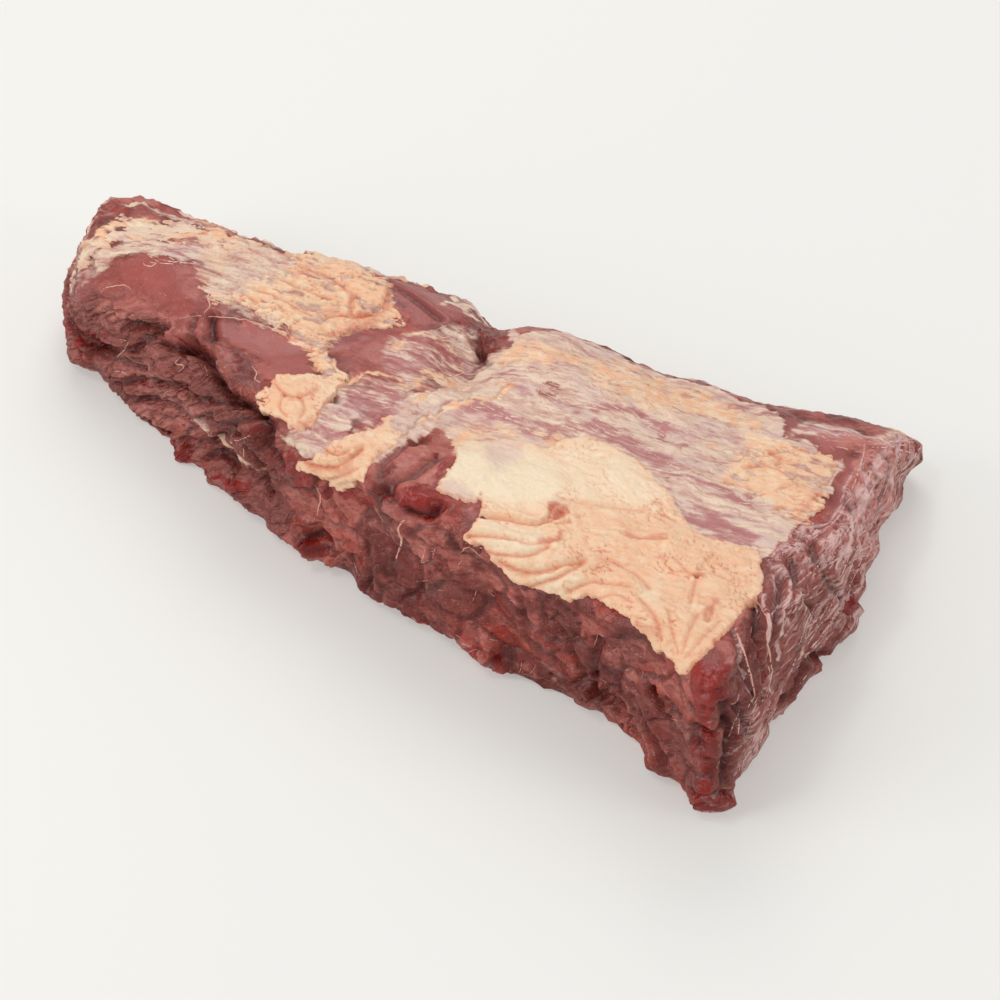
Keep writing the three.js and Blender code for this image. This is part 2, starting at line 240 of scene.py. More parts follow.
LEAN_PAINT = {
    "skin": [
        area([(84, 258), (95, 246), (125, 238), (200, 240), (262, 250), (262, 268), (215, 272), (180, 262),
              (120, 254), (90, 270)], 8, 0.6),
        # A painted sheen along the upper rim of the smooth muscle, in the silverskin's colour.
        line([(72, 290), (84, 272), (104, 256)], 5, 7, 0.5),
        area([(285, 415), (300, 402), (325, 405), (348, 398), (352, 420), (345, 445), (318, 452),
              (298, 450)], 5),
        area([(335, 385), (375, 378), (408, 385), (412, 405), (385, 425), (345, 425)], 10, 0.45),
        area([(345, 470), (350, 440), (375, 424), (400, 405), (440, 388), (480, 372), (510, 345),
              (560, 328), (640, 358), (720, 388), (768, 412), (782, 426), (800, 444), (830, 458),
              (838, 470), (822, 500), (795, 530), (765, 552), (745, 562), (676, 545), (615, 485),
              (585, 455), (500, 458), (462, 454), (440, 425), (400, 445), (370, 465)], 5),
        area([(385, 345), (420, 330), (455, 322), (478, 348), (476, 378), (440, 388), (400, 383)], 8, 0.5),
        line([(450, 300), (485, 315), (512, 334)], 6, 4, 0.8),
        line([(800, 428), (850, 434), (905, 440)], 7, 6, 0.55),
        area([(200, 240), (260, 250), (345, 262), (392, 290), (392, 325), (340, 335), (290, 330),
              (210, 300)], 8, 0.5),
        line([(84, 232), (88, 222), (97, 214)], 3, 3, 0.6),
        line([(140, 216), (165, 214), (195, 222)], 1.5, 3, 0.5),
    ],
    "fatty": [
        line([(78, 262), (88, 246), (100, 236), (116, 227), (124, 224), (140, 231), (170, 233), (205, 237),
              (245, 243), (290, 262), (335, 268)], 5, 4, 0.85),
        line([(128, 225), (160, 224), (205, 230), (240, 240)], 4, 4, 0.8),
        area([(114, 228), (120, 217), (127, 228)], 2),
        area([(205, 245), (250, 245), (300, 258), (345, 262), (372, 277), (392, 300), (392, 322),
              (360, 330), (330, 350), (318, 372), (300, 352), (286, 330), (250, 312), (215, 300),
              (200, 282)], 6, 0.5),
        line([(296, 335), (316, 350), (340, 378)], 6, 4),
        area([(500, 350), (530, 340), (575, 350), (610, 362), (600, 372), (545, 364), (510, 366)], 6, 0.75),
        area([(590, 358), (640, 362), (700, 388), (765, 420), (740, 432), (660, 412), (600, 390)], 12, 0.8),
        area([(372, 432), (400, 412), (430, 398), (470, 388), (520, 384), (505, 398), (470, 410),
              (440, 416), (400, 436), (372, 455)], 5),
        area([(455, 430), (520, 425), (575, 432), (560, 442), (500, 440), (455, 446)], 6, 0.7),
        line([(395, 345), (425, 335), (450, 345), (462, 365)], 4, 4, 0.7),
        line([(405, 385), (430, 378), (462, 380)], 4, 4, 0.8),
        line([(325, 395), (350, 378), (380, 376), (405, 384)], 3, 3, 0.8),
        area([(690, 440), (760, 445), (790, 470), (770, 490), (720, 480)], 12, 0.55),
    ],
    "purple": [
        area([(455, 402), (470, 397), (490, 400), (503, 411), (530, 417), (560, 420), (590, 428),
              (585, 436), (550, 432), (510, 424), (480, 417), (458, 411)], 6, 0.95),
        area([(540, 421), (590, 419), (620, 431), (655, 449), (671, 463), (655, 471), (633, 460),
              (608, 443), (570, 432)], 6, 0.8),
        line([(587, 405), (620, 407), (650, 420), (665, 432), (671, 441)], 3.5, 2.5),
        line([(680, 450), (710, 460), (735, 465), (766, 468)], 4, 3, 0.9),
        line([(665, 470), (692, 482), (725, 490), (752, 502)], 4.5, 3, 0.8),
        area([(680, 505), (717, 509), (740, 524), (757, 538), (745, 543), (717, 541), (692, 529),
              (680, 517)], 6, 0.9),
        line([(735, 407), (760, 410), (790, 420)], 4, 3, 0.8),
        line([(520, 395), (560, 400), (600, 402)], 3, 3, 0.6),
        line([(485, 375), (520, 372), (560, 368)], 3, 3, 0.5),
        area([(345, 388), (375, 383), (400, 388), (398, 415), (370, 420), (350, 410)], 6, 0.9),
        line([(800, 430), (850, 436), (900, 444)], 4, 4, 0.7),
        line([(150, 246), (190, 250), (230, 258)], 4, 4, 0.5),
        area([(388, 350), (420, 338), (450, 345), (465, 370), (430, 382), (395, 376)], 6, 0.7),
        area([(300, 414), (328, 408), (345, 420), (332, 446), (306, 442)], 5, 0.4),
        line([(312, 430), (322, 431)], 3, 3, 0.95),
        area([(338, 433), (350, 427), (364, 432), (355, 441), (342, 440)], 3, 0.95),
    ],
    # Darker lean: partly darker flesh, partly painted shade in hollows, under the tail's overhang and low on
    # the sides.
    "dark_and_shade": [
        area([(738, 640), (752, 615), (757, 650), (757, 695), (748, 710), (740, 680)], 4, 1.0),
        area([(720, 690), (735, 660), (748, 705), (742, 740), (728, 735)], 5, 0.7),
        area([(763, 625), (775, 600), (782, 640), (775, 690), (764, 680)], 4, 0.7),
        area([(795, 655), (830, 645), (835, 660), (800, 695), (780, 700)], 7, 0.8),
        area([(700, 745), (725, 730), (740, 760), (728, 785), (712, 780)], 6, 0.5),
        area([(205, 425), (255, 425), (285, 450), (285, 490), (262, 480), (225, 465)], 8, 0.6),
        area([(340, 565), (385, 575), (420, 610), (400, 610), (350, 585)], 8, 0.6),
        area([(640, 690), (690, 735), (700, 780), (670, 770), (640, 730)], 8, 0.5),
        area([(425, 572), (475, 582), (492, 622), (455, 630), (425, 602)], 8, 0.8),
        area([(130, 325), (165, 325), (170, 335), (150, 345), (132, 338)], 5, 0.6),
    ],
    "bright": [
        line([(58, 305), (72, 328), (98, 345)], 5, 4, 0.8),
        line([(80, 345), (84, 358), (90, 362)], 6, 4),
        line([(140, 386), (165, 388), (190, 393), (198, 386)], 2.2, 2.0),
        line([(82, 320), (100, 338), (120, 345)], 2.0, 2.5, 0.7),
        line([(165, 336), (180, 342), (200, 338), (207, 345)], 2.0, 2.5, 0.7),
        line([(170, 432), (172, 445), (180, 458)], 3, 3, 0.9),
        line([(184, 436), (190, 450), (186, 462)], 3, 3, 0.9),
        line([(262, 430), (275, 445), (272, 465), (285, 480)], 5, 4, 0.7),
        line([(218, 475), (232, 486), (245, 490)], 6, 4),
        line([(285, 450), (300, 480), (345, 498), (395, 500), (440, 490)], 6, 5, 0.8),
        area([(402, 494), (425, 486), (445, 495), (440, 515), (415, 520)], 5, 0.9),
        line([(436, 450), (442, 465), (430, 482)], 4, 3, 0.8),
        area([(485, 600), (505, 595), (520, 615), (508, 640), (488, 630)], 12, 0.45),
        area([(295, 538), (318, 535), (328, 550), (320, 562), (300, 556)], 5, 0.7),
        line([(470, 655), (485, 668), (500, 662)], 6, 4),
        area([(690, 665), (712, 655), (727, 668), (722, 700), (705, 725), (694, 700)], 4),
        line([(704, 735), (708, 760), (703, 800)], 7, 4),
        area([(700, 796), (722, 790), (735, 798), (728, 814), (708, 812)], 4, 0.7),
        line([(850, 612), (858, 603), (866, 600)], 5, 3),
        line([(908, 442), (918, 446)], 6, 4),
        line([(757, 612), (759, 650), (760, 695)], 3, 2.5, 0.8),
        area([(535, 386), (552, 383), (563, 393), (552, 402), (538, 397)], 4, 0.55),
        line([(865, 480), (880, 500), (870, 530)], 6, 5, 0.6),
        line([(740, 780), (790, 715), (840, 640), (870, 560)], 5, 5, 0.45),
        line([(130, 205), (160, 200), (190, 212)], 5, 5, 0.4),
    ],
    "butt": [
        area([(757, 600), (766, 562), (800, 528), (835, 512), (852, 478), (884, 447), (915, 436),
              (930, 470), (860, 640), (730, 830), (712, 800), (712, 730), (728, 690), (735, 640)], 5),
    ],
    "pale": [
        line([(733, 628), (742, 655), (750, 700)], 1.3, 1.4, 0.9),
        line([(763, 596), (766, 625), (764, 655), (770, 695)], 1.5, 1.4, 0.9),
        line([(776, 572), (774, 605), (770, 640)], 1.4, 1.6, 0.8),
        line([(800, 540), (792, 580), (782, 620), (776, 660)], 2.0, 2.0, 0.8),
        line([(812, 545), (826, 578), (842, 600)], 1.8, 1.6, 0.9),
        line([(850, 490), (850, 530), (836, 570)], 1.8, 2.0, 0.9),
        line([(868, 470), (866, 510), (858, 560)], 2.0, 2.0, 0.8),
        line([(890, 458), (886, 500), (874, 545)], 1.8, 2.0, 0.8),
        line([(768, 560), (800, 532), (832, 520), (850, 478), (880, 452), (905, 440)], 2.5, 3.0, 0.7),
        line([(805, 430), (850, 434), (900, 440)], 1.5, 2.0, 0.8),
        line([(815, 438), (850, 444), (885, 450)], 1.2, 2.0, 0.7),
        # Lighter pale film over the top of the butt end, partly a painted highlight where light from behind
        # falls.
        area([(845, 492), (882, 458), (906, 450), (902, 500), (876, 560), (850, 560)], 10, 0.5),
        line([(400, 604), (440, 630), (470, 648)], 1.0, 1.2, 0.6),
        line([(520, 672), (560, 690), (600, 716)], 1.0, 1.2, 0.6),
        line([(632, 722), (650, 745), (668, 770)], 1.0, 1.2, 0.5),
    ],
    "haze": [
        area([(95, 300), (130, 296), (165, 308), (160, 325), (130, 322), (104, 316)], 6, 0.8),
        line([(140, 412), (160, 420), (185, 426), (205, 434)], 5, 5, 0.9),
        line([(118, 408), (140, 418), (160, 432)], 4, 4, 0.5),
        area([(205, 340), (235, 345), (246, 375), (240, 392), (222, 380), (210, 358)], 6, 0.6),
        area([(320, 520), (345, 530), (350, 565), (330, 560)], 8, 0.5),
        area([(395, 500), (450, 500), (470, 535), (430, 560), (400, 540)], 8, 0.5),
        area([(520, 600), (560, 610), (570, 650), (530, 640)], 8, 0.35),
        area([(162, 318), (198, 318), (208, 338), (190, 352), (168, 340)], 5, 0.9),
        area([(395, 462), (425, 445), (448, 462), (442, 485), (405, 488)], 6, 0.7),
        # Lighter film over the top of the butt end, partly a painted highlight where light from behind falls.
        area([(850, 462), (905, 445), (902, 500), (872, 562), (845, 540)], 10, 1.0),
        area([(810, 425), (850, 432), (905, 438), (860, 455), (815, 445)], 6, 0.8),
        area([(590, 630), (650, 650), (660, 690), (610, 680)], 10, 0.4),
        area([(100, 360), (150, 368), (200, 400), (230, 440), (180, 440), (130, 400)], 10, 0.6),
        area([(222, 350), (250, 375), (262, 408), (240, 400), (225, 378)], 6, 0.35),
    ],
    "even": [
        area([(122, 262), (150, 258), (187, 268), (190, 290), (182, 305), (150, 298), (125, 282)], 4),
        area([(215, 318), (250, 320), (290, 335), (302, 345), (313, 374), (300, 378), (270, 372),
              (250, 350), (228, 340)], 4),
        area([(75, 270), (120, 260), (200, 290), (215, 318), (190, 325), (150, 312), (100, 300),
              (72, 300)], 9, 0.7),
        area([(158, 318), (198, 316), (212, 335), (205, 352), (182, 350), (165, 340)], 4, 0.8),
        area([(395, 280), (440, 285), (462, 320), (430, 322), (405, 310)], 4, 0.9),
        area([(340, 385), (400, 385), (400, 418), (350, 420)], 8, 0.6),
        area([(330, 335), (400, 330), (450, 365), (430, 380), (350, 372)], 6, 0.6),
        area([(760, 590), (775, 550), (800, 532), (825, 520), (800, 560), (780, 600)], 8, 0.4),
        area([(783, 422), (802, 424), (834, 442), (852, 466), (850, 498), (834, 520), (826, 505),
              (838, 476), (815, 452), (790, 436)], 4, 0.9),
    ],
}

# Creases in the lean: line, half width and depth in millimetres.
LEAN_CREASES = [
    ([(128, 328), (148, 322), (166, 331)], 2.2, 3.0),
    ([(98, 348), (118, 352), (136, 346), (152, 336)], 1.8, 1.8),
    ([(166, 345), (180, 349), (193, 345)], 1.8, 2.2),
    ([(213, 318), (212, 330), (216, 346)], 1.6, 2.2),
    ([(195, 317), (194, 330), (196, 342)], 1.4, 1.6),
    ([(188, 346), (202, 353), (213, 364), (221, 385), (236, 400), (262, 412)], 2.2, 4.4),
    ([(112, 386), (135, 382), (162, 384), (188, 391)], 1.8, 2.2),
    ([(125, 397), (150, 401), (170, 405), (186, 415)], 1.8, 2.0),
    ([(190, 396), (206, 399), (240, 404)], 1.8, 2.2),
    ([(200, 421), (222, 425), (246, 421), (263, 415)], 1.8, 2.2),
    ([(145, 418), (160, 430), (178, 442)], 1.6, 1.6),
    ([(214, 441), (230, 432), (246, 436)], 1.6, 1.6),
    ([(205, 455), (222, 452), (240, 462)], 1.8, 2.0),
    ([(262, 412), (270, 428), (268, 446), (280, 462)], 2.2, 3.0),
    ([(250, 450), (262, 470), (268, 490)], 2.0, 2.4),
    ([(378, 497), (405, 478), (440, 455)], 2.0, 1.6),
    ([(405, 512), (425, 514), (440, 508)], 2.0, 3.2),
    ([(395, 500), (380, 470), (400, 450), (425, 440)], 1.8, 1.4),
    ([(327, 470), (330, 500), (342, 520)], 1.4, 1.0),
    ([(295, 556), (318, 533), (330, 540)], 1.8, 2.0),
    ([(366, 545), (370, 580), (362, 600)], 1.6, 1.8),
    ([(420, 560), (421, 590), (405, 596)], 1.4, 1.2),
    ([(505, 560), (520, 600), (530, 640)], 1.4, 0.9),
    ([(560, 630), (580, 668), (578, 690)], 1.4, 1.2),
    ([(600, 640), (590, 690), (612, 715)], 1.6, 1.4),
    ([(655, 690), (672, 720), (690, 745)], 1.6, 2.0),
    ([(632, 700), (650, 735), (668, 765)], 1.6, 1.6),
    ([(668, 700), (690, 728), (702, 742)], 1.6, 2.0),
    ([(755, 602), (757, 640), (760, 700)], 1.8, 3.0),
    ([(733, 628), (745, 675), (752, 696)], 1.2, 1.2),
    ([(792, 560), (800, 590), (812, 610)], 1.6, 1.8),
    ([(780, 575), (776, 610), (768, 640)], 1.4, 1.4),
    ([(812, 545), (826, 580), (842, 598)], 1.6, 1.8),
    ([(850, 500), (858, 530), (850, 560)], 1.6, 1.6),
    ([(800, 660), (815, 655), (832, 655)], 2.0, 2.6),
    ([(770, 705), (790, 690), (800, 668)], 1.6, 2.0),
    ([(735, 705), (748, 730), (740, 760)], 1.6, 2.0),
    ([(722, 700), (728, 740), (722, 780)], 1.8, 2.2),
    ([(702, 727), (712, 730), (722, 724)], 1.6, 2.6),
    ([(698, 792), (712, 790), (726, 793)], 1.6, 2.4),
    ([(880, 452), (892, 468), (884, 500)], 1.4, 1.4),
    ([(478, 354), (484, 359), (487, 366)], 1.8, 1.2),
    ([(470, 330), (476, 345), (482, 358)], 1.4, 0.8),
    ([(365, 275), (392, 285), (420, 302), (440, 318)], 1.4, 1.4),
    ([(325, 400), (331, 398), (336, 400)], 1.6, 2.0),
    ([(60, 305), (75, 332), (104, 352), (140, 372)], 2.0, 1.8),
    ([(90, 372), (112, 386), (128, 402)], 1.6, 1.6),
]

# Torn tags and wet bulges of the lean: pixel, radius and height in millimetres.
LEAN_BULGES = [
    ((86, 350), 4.0, 6.0),
    ((75, 378), 5.0, -4.0),
    ((483, 350), 8.0, 2.5),
    ((186, 440), 6.0, 4.5),
    ((305, 535), 6.0, 4.0),
    ((62, 292), 6.0, -3.5),
    ((182, 332), 6.5, 2.5),
    ((225, 370), 9.0, 2.0),
    ((182, 456), 5.0, 3.5),
    ((334, 570), 7.0, -3.5),
    ((552, 692), 8.0, -4.0),
    ((600, 700), 12.0, -4.5),
    ((625, 728), 10.0, -4.0),
    ((208, 374), 9.0, 3.6),
    ((232, 402), 9.0, 4.4),
    ((256, 426), 8.0, 3.2),
    ((236, 484), 4.0, 2.5),
    ((310, 548), 4.5, 3.0),
    ((345, 572), 4.0, 1.5),
    ((486, 652), 4.5, 3.5),
    ((560, 688), 4.0, 1.5),
    ((857, 606), 3.0, 3.0),
    ((872, 540), 16.0, -2.0),
    ((850, 585), 10.0, -2.0),
    ((708, 690), 5.5, 3.0),
    ((702, 745), 5.0, 2.5),
    ((707, 785), 4.0, 2.5),
    ((425, 503), 5.0, 2.5),
    ((405, 486), 4.0, 1.5),
    ((476, 336), 4.0, 2.5),
    ((490, 345), 3.0, 2.0),
    ((175, 328), 4.5, 2.0),
    ((205, 336), 4.0, 1.5),
    ((145, 345), 5.0, 1.5),
    ((380, 280), 4.0, 1.5),
]

# Places where the outline is drawn in or out: pixel, radius in pixels, and millimetres to the right and up.
LEAN_PULLS = [
    ((917, 443), 7, 4.5, 0.0),
    ((920, 456), 10, 3.0, -0.8),
    ((300, 246), 34, 0.0, -2.0),
    ((446, 291), 22, 0.0, -1.8),
    ((662, 370), 30, 0.0, -2.0),
    ((874, 572), 12, -2.2, 0.0),
    ((84, 372), 8, 2.0, 0.0),
    ((704, 806), 8, -3.0, 0.0),
    ((914, 486), 20, -4.0, 1.5),
    ((892, 530), 20, -3.5, 0.8),
    ((652, 770), 16, -3.5, -2.0),
    ((728, 806), 9, 4.0, 0.0),
    ((148, 428), 16, -1.0, -2.5),
    ((184, 456), 14, -2.0, -3.0),
    ((84, 358), 7, -0.4, -0.6),
    ((66, 378), 10, 2.5, 0.5),
    ((97, 220), 14, 0.0, 2.5),
    ((210, 480), 10, -1.5, -2.0),
    ((345, 572), 12, 1.0, 2.0),
    ((602, 716), 14, 0.0, 3.0),
]

# Pale threads of sinew: line in pixels, and radius in millimetres.
SINEWS = [
    ([(143, 263), (148, 266), (156, 264), (150, 262)], 0.5),
    ([(100, 292), (107, 288), (115, 286), (124, 285), (131, 289)], 0.35),
    ([(205, 285), (212, 286), (208, 296), (210, 304), (205, 313)], 0.5),
    ([(193, 300), (199, 302)], 0.8),
    ([(180, 357), (176, 363), (183, 366), (178, 372)], 0.4),
    ([(252, 367), (257, 372), (255, 379), (262, 383)], 0.4),
    ([(130, 338), (126, 348), (120, 354), (117, 358)], 0.35),
    ([(115, 372), (122, 371), (128, 376)], 0.35),
    ([(231, 441), (240, 440), (250, 436)], 0.3),
    ([(236, 442), (244, 450), (242, 460)], 0.3),
    ([(180, 318), (198, 316), (220, 317), (250, 321), (278, 332), (298, 345)], 0.35),
    ([(315, 485), (320, 497), (317, 515)], 0.45),
    ([(405, 520), (398, 528), (402, 540), (396, 558)], 0.9),
    ([(420, 545), (425, 552), (422, 562), (430, 560)], 0.35),
    ([(460, 552), (470, 548), (485, 560)], 0.35),
    ([(735, 628), (746, 660), (755, 695)], 0.7),
    ([(757, 602), (768, 620), (767, 640), (772, 672), (766, 692)], 0.6),
    ([(300, 340), (325, 358), (345, 385)], 0.4),
]

# Fields of fine strands: outline in pixels, how many, heading and its spread in degrees in the picture,
# shortest and longest in pixels, and radius in millimetres.
FILM_FIELDS = [
    ([(730, 640), (757, 606), (772, 590), (775, 650), (768, 700), (745, 740),
      (725, 740)], 4, 86, 8, 14, 50, 0.26),
    ([(768, 580), (800, 535), (830, 520), (850, 520), (850, 590), (820, 650), (775, 700),
      (766, 640)], 22, 50, 8, 18, 60, 0.28),
    ([(830, 520), (848, 478), (885, 448), (912, 450), (905, 490), (880, 545), (860, 595),
      (845, 600)], 16, 62, 8, 18, 54, 0.3),
    ([(800, 428), (850, 432), (905, 438), (880, 450), (830, 446)], 8, -12, 6, 12, 44, 0.3),
    ([(740, 700), (775, 690), (800, 665), (820, 660), (790, 700), (745, 770),
      (730, 770)], 12, 58, 14, 8, 22, 0.3),
]
SKIN_FIELDS = [
    ([(440, 395), (500, 362), (560, 350), (640, 380), (720, 420), (760, 460), (770, 520), (700, 500),
      (640, 450), (560, 415), (460, 415)], 130, -19, 5, 14, 60, 0.36),
    ([(130, 240), (200, 240), (262, 252), (300, 262), (290, 300), (240, 300), (200, 270),
      (130, 258)], 50, -14, 9, 10, 36, 0.34),
    ([(345, 385), (405, 380), (408, 412), (360, 425)], 10, -10, 10, 8, 28, 0.3),
    ([(390, 340), (450, 325), (478, 350), (440, 385), (395, 378)], 16, 12, 10, 8, 24, 0.34),
]
SINEW_FIELDS = [
    ([(300, 500), (380, 510), (470, 560), (560, 600), (650, 660), (690, 740), (660, 760), (560, 690),
      (450, 660), (340, 580)], 26, 20, 60, 5, 14, 0.13),
    ([(90, 300), (190, 330), (250, 420), (290, 490), (230, 470), (150, 400)], 8, 10, 50, 5, 12, 0.14),
]


# ---- Mesh tools ----

def deselect():
    for other in bpy.context.selected_objects:
        other.select_set(False)


def take(piece):
    """Makes a piece the one selected and active object."""
    deselect()
    piece.select_set(True)
    bpy.context.view_layer.objects.active = piece


def apply(piece, kind, **settings):
    """Adds a modifier to a piece and applies it."""
    take(piece)
    added = piece.modifiers.new(kind.title(), kind)
    for key, value in settings.items():
        setattr(added, key, value)
    bpy.ops.object.modifier_apply(modifier=added.name)


def read(items, name):
    """One vector for each vertex or face."""
    found = np.empty(len(items) * 3, np.float32)
    items.foreach_get(name, found)
    return found.reshape(-1, 3).astype(float)


def places(mesh):
    return read(mesh.vertices, "co")


def normals(mesh):
    return read(mesh.vertices, "normal")


def move_to(mesh, points):
    mesh.vertices.foreach_set("co", points.astype(np.float32).ravel())
    mesh.update()


def keep_value(mesh, name, values):
    """Stores a number at each vertex, for the material to read."""
    layer = mesh.attributes.new(name, "FLOAT", "POINT")
    layer.data.foreach_set("value", np.asarray(values, np.float32))


def finish_piece(piece, material, replaces=False):
    """Shades a piece, gives it its material, and lets it ride on the meat's one body."""
    take(piece)
    bpy.ops.object.shade_smooth()
    piece.data.materials.clear()
    piece.data.materials.append(material)
    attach(piece, BODY)
    if replaces:
        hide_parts(NODE)


def flesh_copy(name, levels):
    """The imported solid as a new, evenly divided mesh of quads."""
    piece = bpy.data.objects.new(name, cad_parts[NODE].data.copy())
    bpy.context.scene.collection.objects.link(piece)
    take(piece)
    bpy.ops.object.mode_set(mode="EDIT")
    bpy.ops.mesh.select_all(action="SELECT")
    bpy.ops.mesh.remove_doubles(threshold=WELD)
    bpy.ops.mesh.tris_convert_to_quads(face_threshold=math.pi, shape_threshold=math.pi)
    bpy.ops.object.mode_set(mode="OBJECT")
    apply(piece, "SUBSURF", levels=levels, render_levels=levels)
    return piece


def edit(piece, kind, chosen, operator, **settings):
    """Runs an edit mode operator on the chosen vertices or faces of a piece; kind is VERT or FACE."""
    take(piece)
    bpy.ops.object.mode_set(mode="EDIT")
    bpy.ops.mesh.select_mode(type=kind)
    bpy.ops.mesh.select_all(action="DESELECT")
    bpy.ops.object.mode_set(mode="OBJECT")
    items = piece.data.vertices if kind == "VERT" else piece.data.polygons
    items.foreach_set("select", chosen)
    bpy.ops.object.mode_set(mode="EDIT")
    operator(**settings)
    bpy.ops.object.mode_set(mode="OBJECT")


class Ground:
    """A surface to lay pieces on, and where pixels and plumb lines meet it."""

    def __init__(self, mesh):
        corners = [v.co.copy() for v in mesh.vertices]
        self.tree = BVHTree.FromPolygons(corners, [tuple(p.vertices) for p in mesh.polygons])

    def seen(self, pixel):
        """Where a pixel looks: the point and normal, or None beside the meat."""
        place, normal, _, _ = self.tree.ray_cast(Vector(CAMERA.place), CAMERA.ray(pixel))
        return (place, normal) if place else None

    def spot(self, pixel):
        """The point under a pixel, or beside the meat the one at a fixed height."""
        found = self.seen(pixel)
        if found:
            return np.array(found[0])
        ray = CAMERA.ray(pixel)
        return CAMERA.place + np.array(ray) * ((FALL_BACK_HEIGHT - CAMERA.place[2]) / ray[2])

    def below(self, x, y):
        """The point and normal straight below a place in the plan."""
        place, normal, _, _ = self.tree.ray_cast(Vector((x, y, 1.0)), Vector((0, 0, -1)))
        return (place, normal) if place else None

    def track(self, pixels):
        """A line of pixels as a line on the surface."""
        return np.array([self.spot(p) for p in curve_through(pixels, 3)])


STATE = {}
STRAND_STEP = 3.0  # pixels
LEAST_UPRIGHT = 0.35  # a layer dropped from above ends where the surface is steeper than this
SHEET_MARGIN = 3  # millimetres of grid around a layer's outline
SHEET_HEM = 1.6  # millimetres of a layer that stay outside its outline, sunk into the lean
SHEET_THICKNESS = 0.6 * MM


# ---- Shader maths ----

class Wire:
    """One output of a node, so that shader maths is written as ordinary expressions."""

    def __init__(self, finish, socket):
        self.finish = finish
        self.socket = socket

    def maths(self, operation, *values, clamp=False):
        inputs = dict(enumerate(values))
        return self.finish.node("ShaderNodeMath", {"operation": operation, "use_clamp": clamp}, inputs)

    def __add__(self, other):
        return self.maths("ADD", self, other)

    __radd__ = __add__

    def __sub__(self, other):
        return self.maths("SUBTRACT", self, other)

    def __rsub__(self, other):
        return self.maths("SUBTRACT", other, self)

    def __mul__(self, other):
        return self.maths("MULTIPLY", self, other)

    __rmul__ = __mul__

    def __abs__(self):
        return self.maths("ABSOLUTE", self)

    def maximum(self, other):
        return self.maths("MAXIMUM", self, other)

    def clamped(self):
        return self.maths("ADD", self, 0.0, clamp=True)

    def step(self, low, high):
        """0 at low, 1 at high, and smooth between them; low may be above high."""
        if low > high:
            return 1 - self.step(high, low)
        sockets = {"Value": self, "From Min": low, "From Max": high, "To Min": 0.0, "To Max": 1.0}
        return self.finish.node("ShaderNodeMapRange", {"interpolation_type": "SMOOTHSTEP"}, sockets)


class Finish:
    """A material and the few ways in which its nodes are made."""

    def __init__(self, name):
        self.material = bpy.data.materials.new(name)
        self.material.use_nodes = True
        self.tree = self.material.node_tree
        self.shader = self.tree.nodes["Principled BSDF"]
        self.coordinates = self.node("ShaderNodeTexCoord", {}, {}, "Object")
        self.place = self.vector("SCALE", self.coordinates, 1 / MM)  # in millimetres

    def node(self, kind, settings, sockets, output=0):
        """Adds a node, sets it up, fills or links its sockets, and gives back one output."""
        made = self.tree.nodes.new(kind)
        for key, value in settings.items():
            setattr(made, key, value)
        for key, value in sockets.items():
            self.feed(made.inputs[key], value)
        return Wire(self, made.outputs[output])

    def feed(self, socket, value):
        if isinstance(value, Wire):
            self.tree.links.new(value.socket, socket)
        elif socket.type == "RGBA" and len(value) == 3:
            socket.default_value = (*value, 1.0)
        else:
            socket.default_value = value

    def vector(self, operation, first, second):
        """Vector maths; a SCALE takes a number, and every other operation a vector."""
        sockets = {0: first, ("Scale" if operation == "SCALE" else 1): second}
        return self.node("ShaderNodeVectorMath", {"operation": operation}, sockets)

    def painted(self, name):
        """A number that the mesh keeps at its vertices."""
        return self.node("ShaderNodeAttribute", {"attribute_name": name}, {}, "Fac")

    def turned(self, place, about_x=0.0, about_y=0.0, about_z=0.0):
        """The place seen from axes turned by one of these angles in degrees."""
        turn = tuple(math.radians(-angle) for angle in (about_x, about_y, about_z))
        return self.node("ShaderNodeMapping", {"vector_type": "POINT"}, {"Vector": place, "Rotation": turn})

    def noise(self, place, size, detail=2.0, roughness=0.5, distortion=0.0, output="Fac"):
        """Smooth noise from 0 to 1 in lumps of a size in millimetres, one number or X, Y and Z."""
        size = size if isinstance(size, tuple) else (size, size, size)
        scaled = self.vector("MULTIPLY", place, tuple(1 / s for s in size))
        sockets = {"Vector": scaled, "Scale": 1.0, "Detail": detail, "Roughness": roughness,
                   "Distortion": distortion}
        return self.node("ShaderNodeTexNoise", {}, sockets, output)

    def wavy(self, place, size, reach):
        """The place pushed about by noise, so that lines on it wander."""
        push = self.noise(place, size, 2.0, output="Color")
        centred = self.vector("SUBTRACT", push, (0.5, 0.5, 0.5))
        return self.vector("ADD", place, self.vector("SCALE", centred, reach))

    def blend(self, share, first, second):
        """A colour between two."""
        sockets = {0: share, 6: first, 7: second}
        return self.node("ShaderNodeMix", {"data_type": "RGBA", "clamp_factor": True}, sockets, 2)

    def set(self, **values):
        """Sets or links sockets of the shader; underscores stand for spaces."""
        for key, value in values.items():
            self.feed(self.shader.inputs[key.replace("_", " ")], value)

    def bump(self, height):
        """Bump from a height in millimetres."""
        raised = self.node("ShaderNodeBump", {}, {"Strength": 1.0, "Distance": MM, "Height": height})
        self.set(Normal=raised)


def skin_look(f, colours, place):
    """Silverskin: its colour, and the streaks along the muscle that give its relief."""
    run = f.turned(place, about_z=16)
    streak = f.noise(run, (12.0, 2.8, 4.0), 4.0, 0.68)
    broad = f.noise(run, (26.0, 8.0, 12.0), 2.0, 0.6)
    colour = f.blend(streak.step(0.36, 0.62), colours.silverskin, colours.skin_pale)
    colour = f.blend(broad.step(0.45, 0.65) * 0.55, colour, colours.skin_grey)
    shown = (f.painted("purple") * 0.95 + (0.5 - streak) * 3.0 + (broad - 0.5) * 1.4).step(0.1, 1.0)
    colour = f.blend(shown * 0.9, colour, colours.skin_purple)
    return colour, streak


def fat_look(f, colours, mottle, streak):
    """Thin fat over the lean: its colour, streaked as the skin is."""
    colour = f.blend(mottle.step(0.38, 0.62), colours.fat_pale, colours.fat_peach)
    return f.blend(streak.step(0.44, 0.34) * 0.6, colour, colours.fat_red)


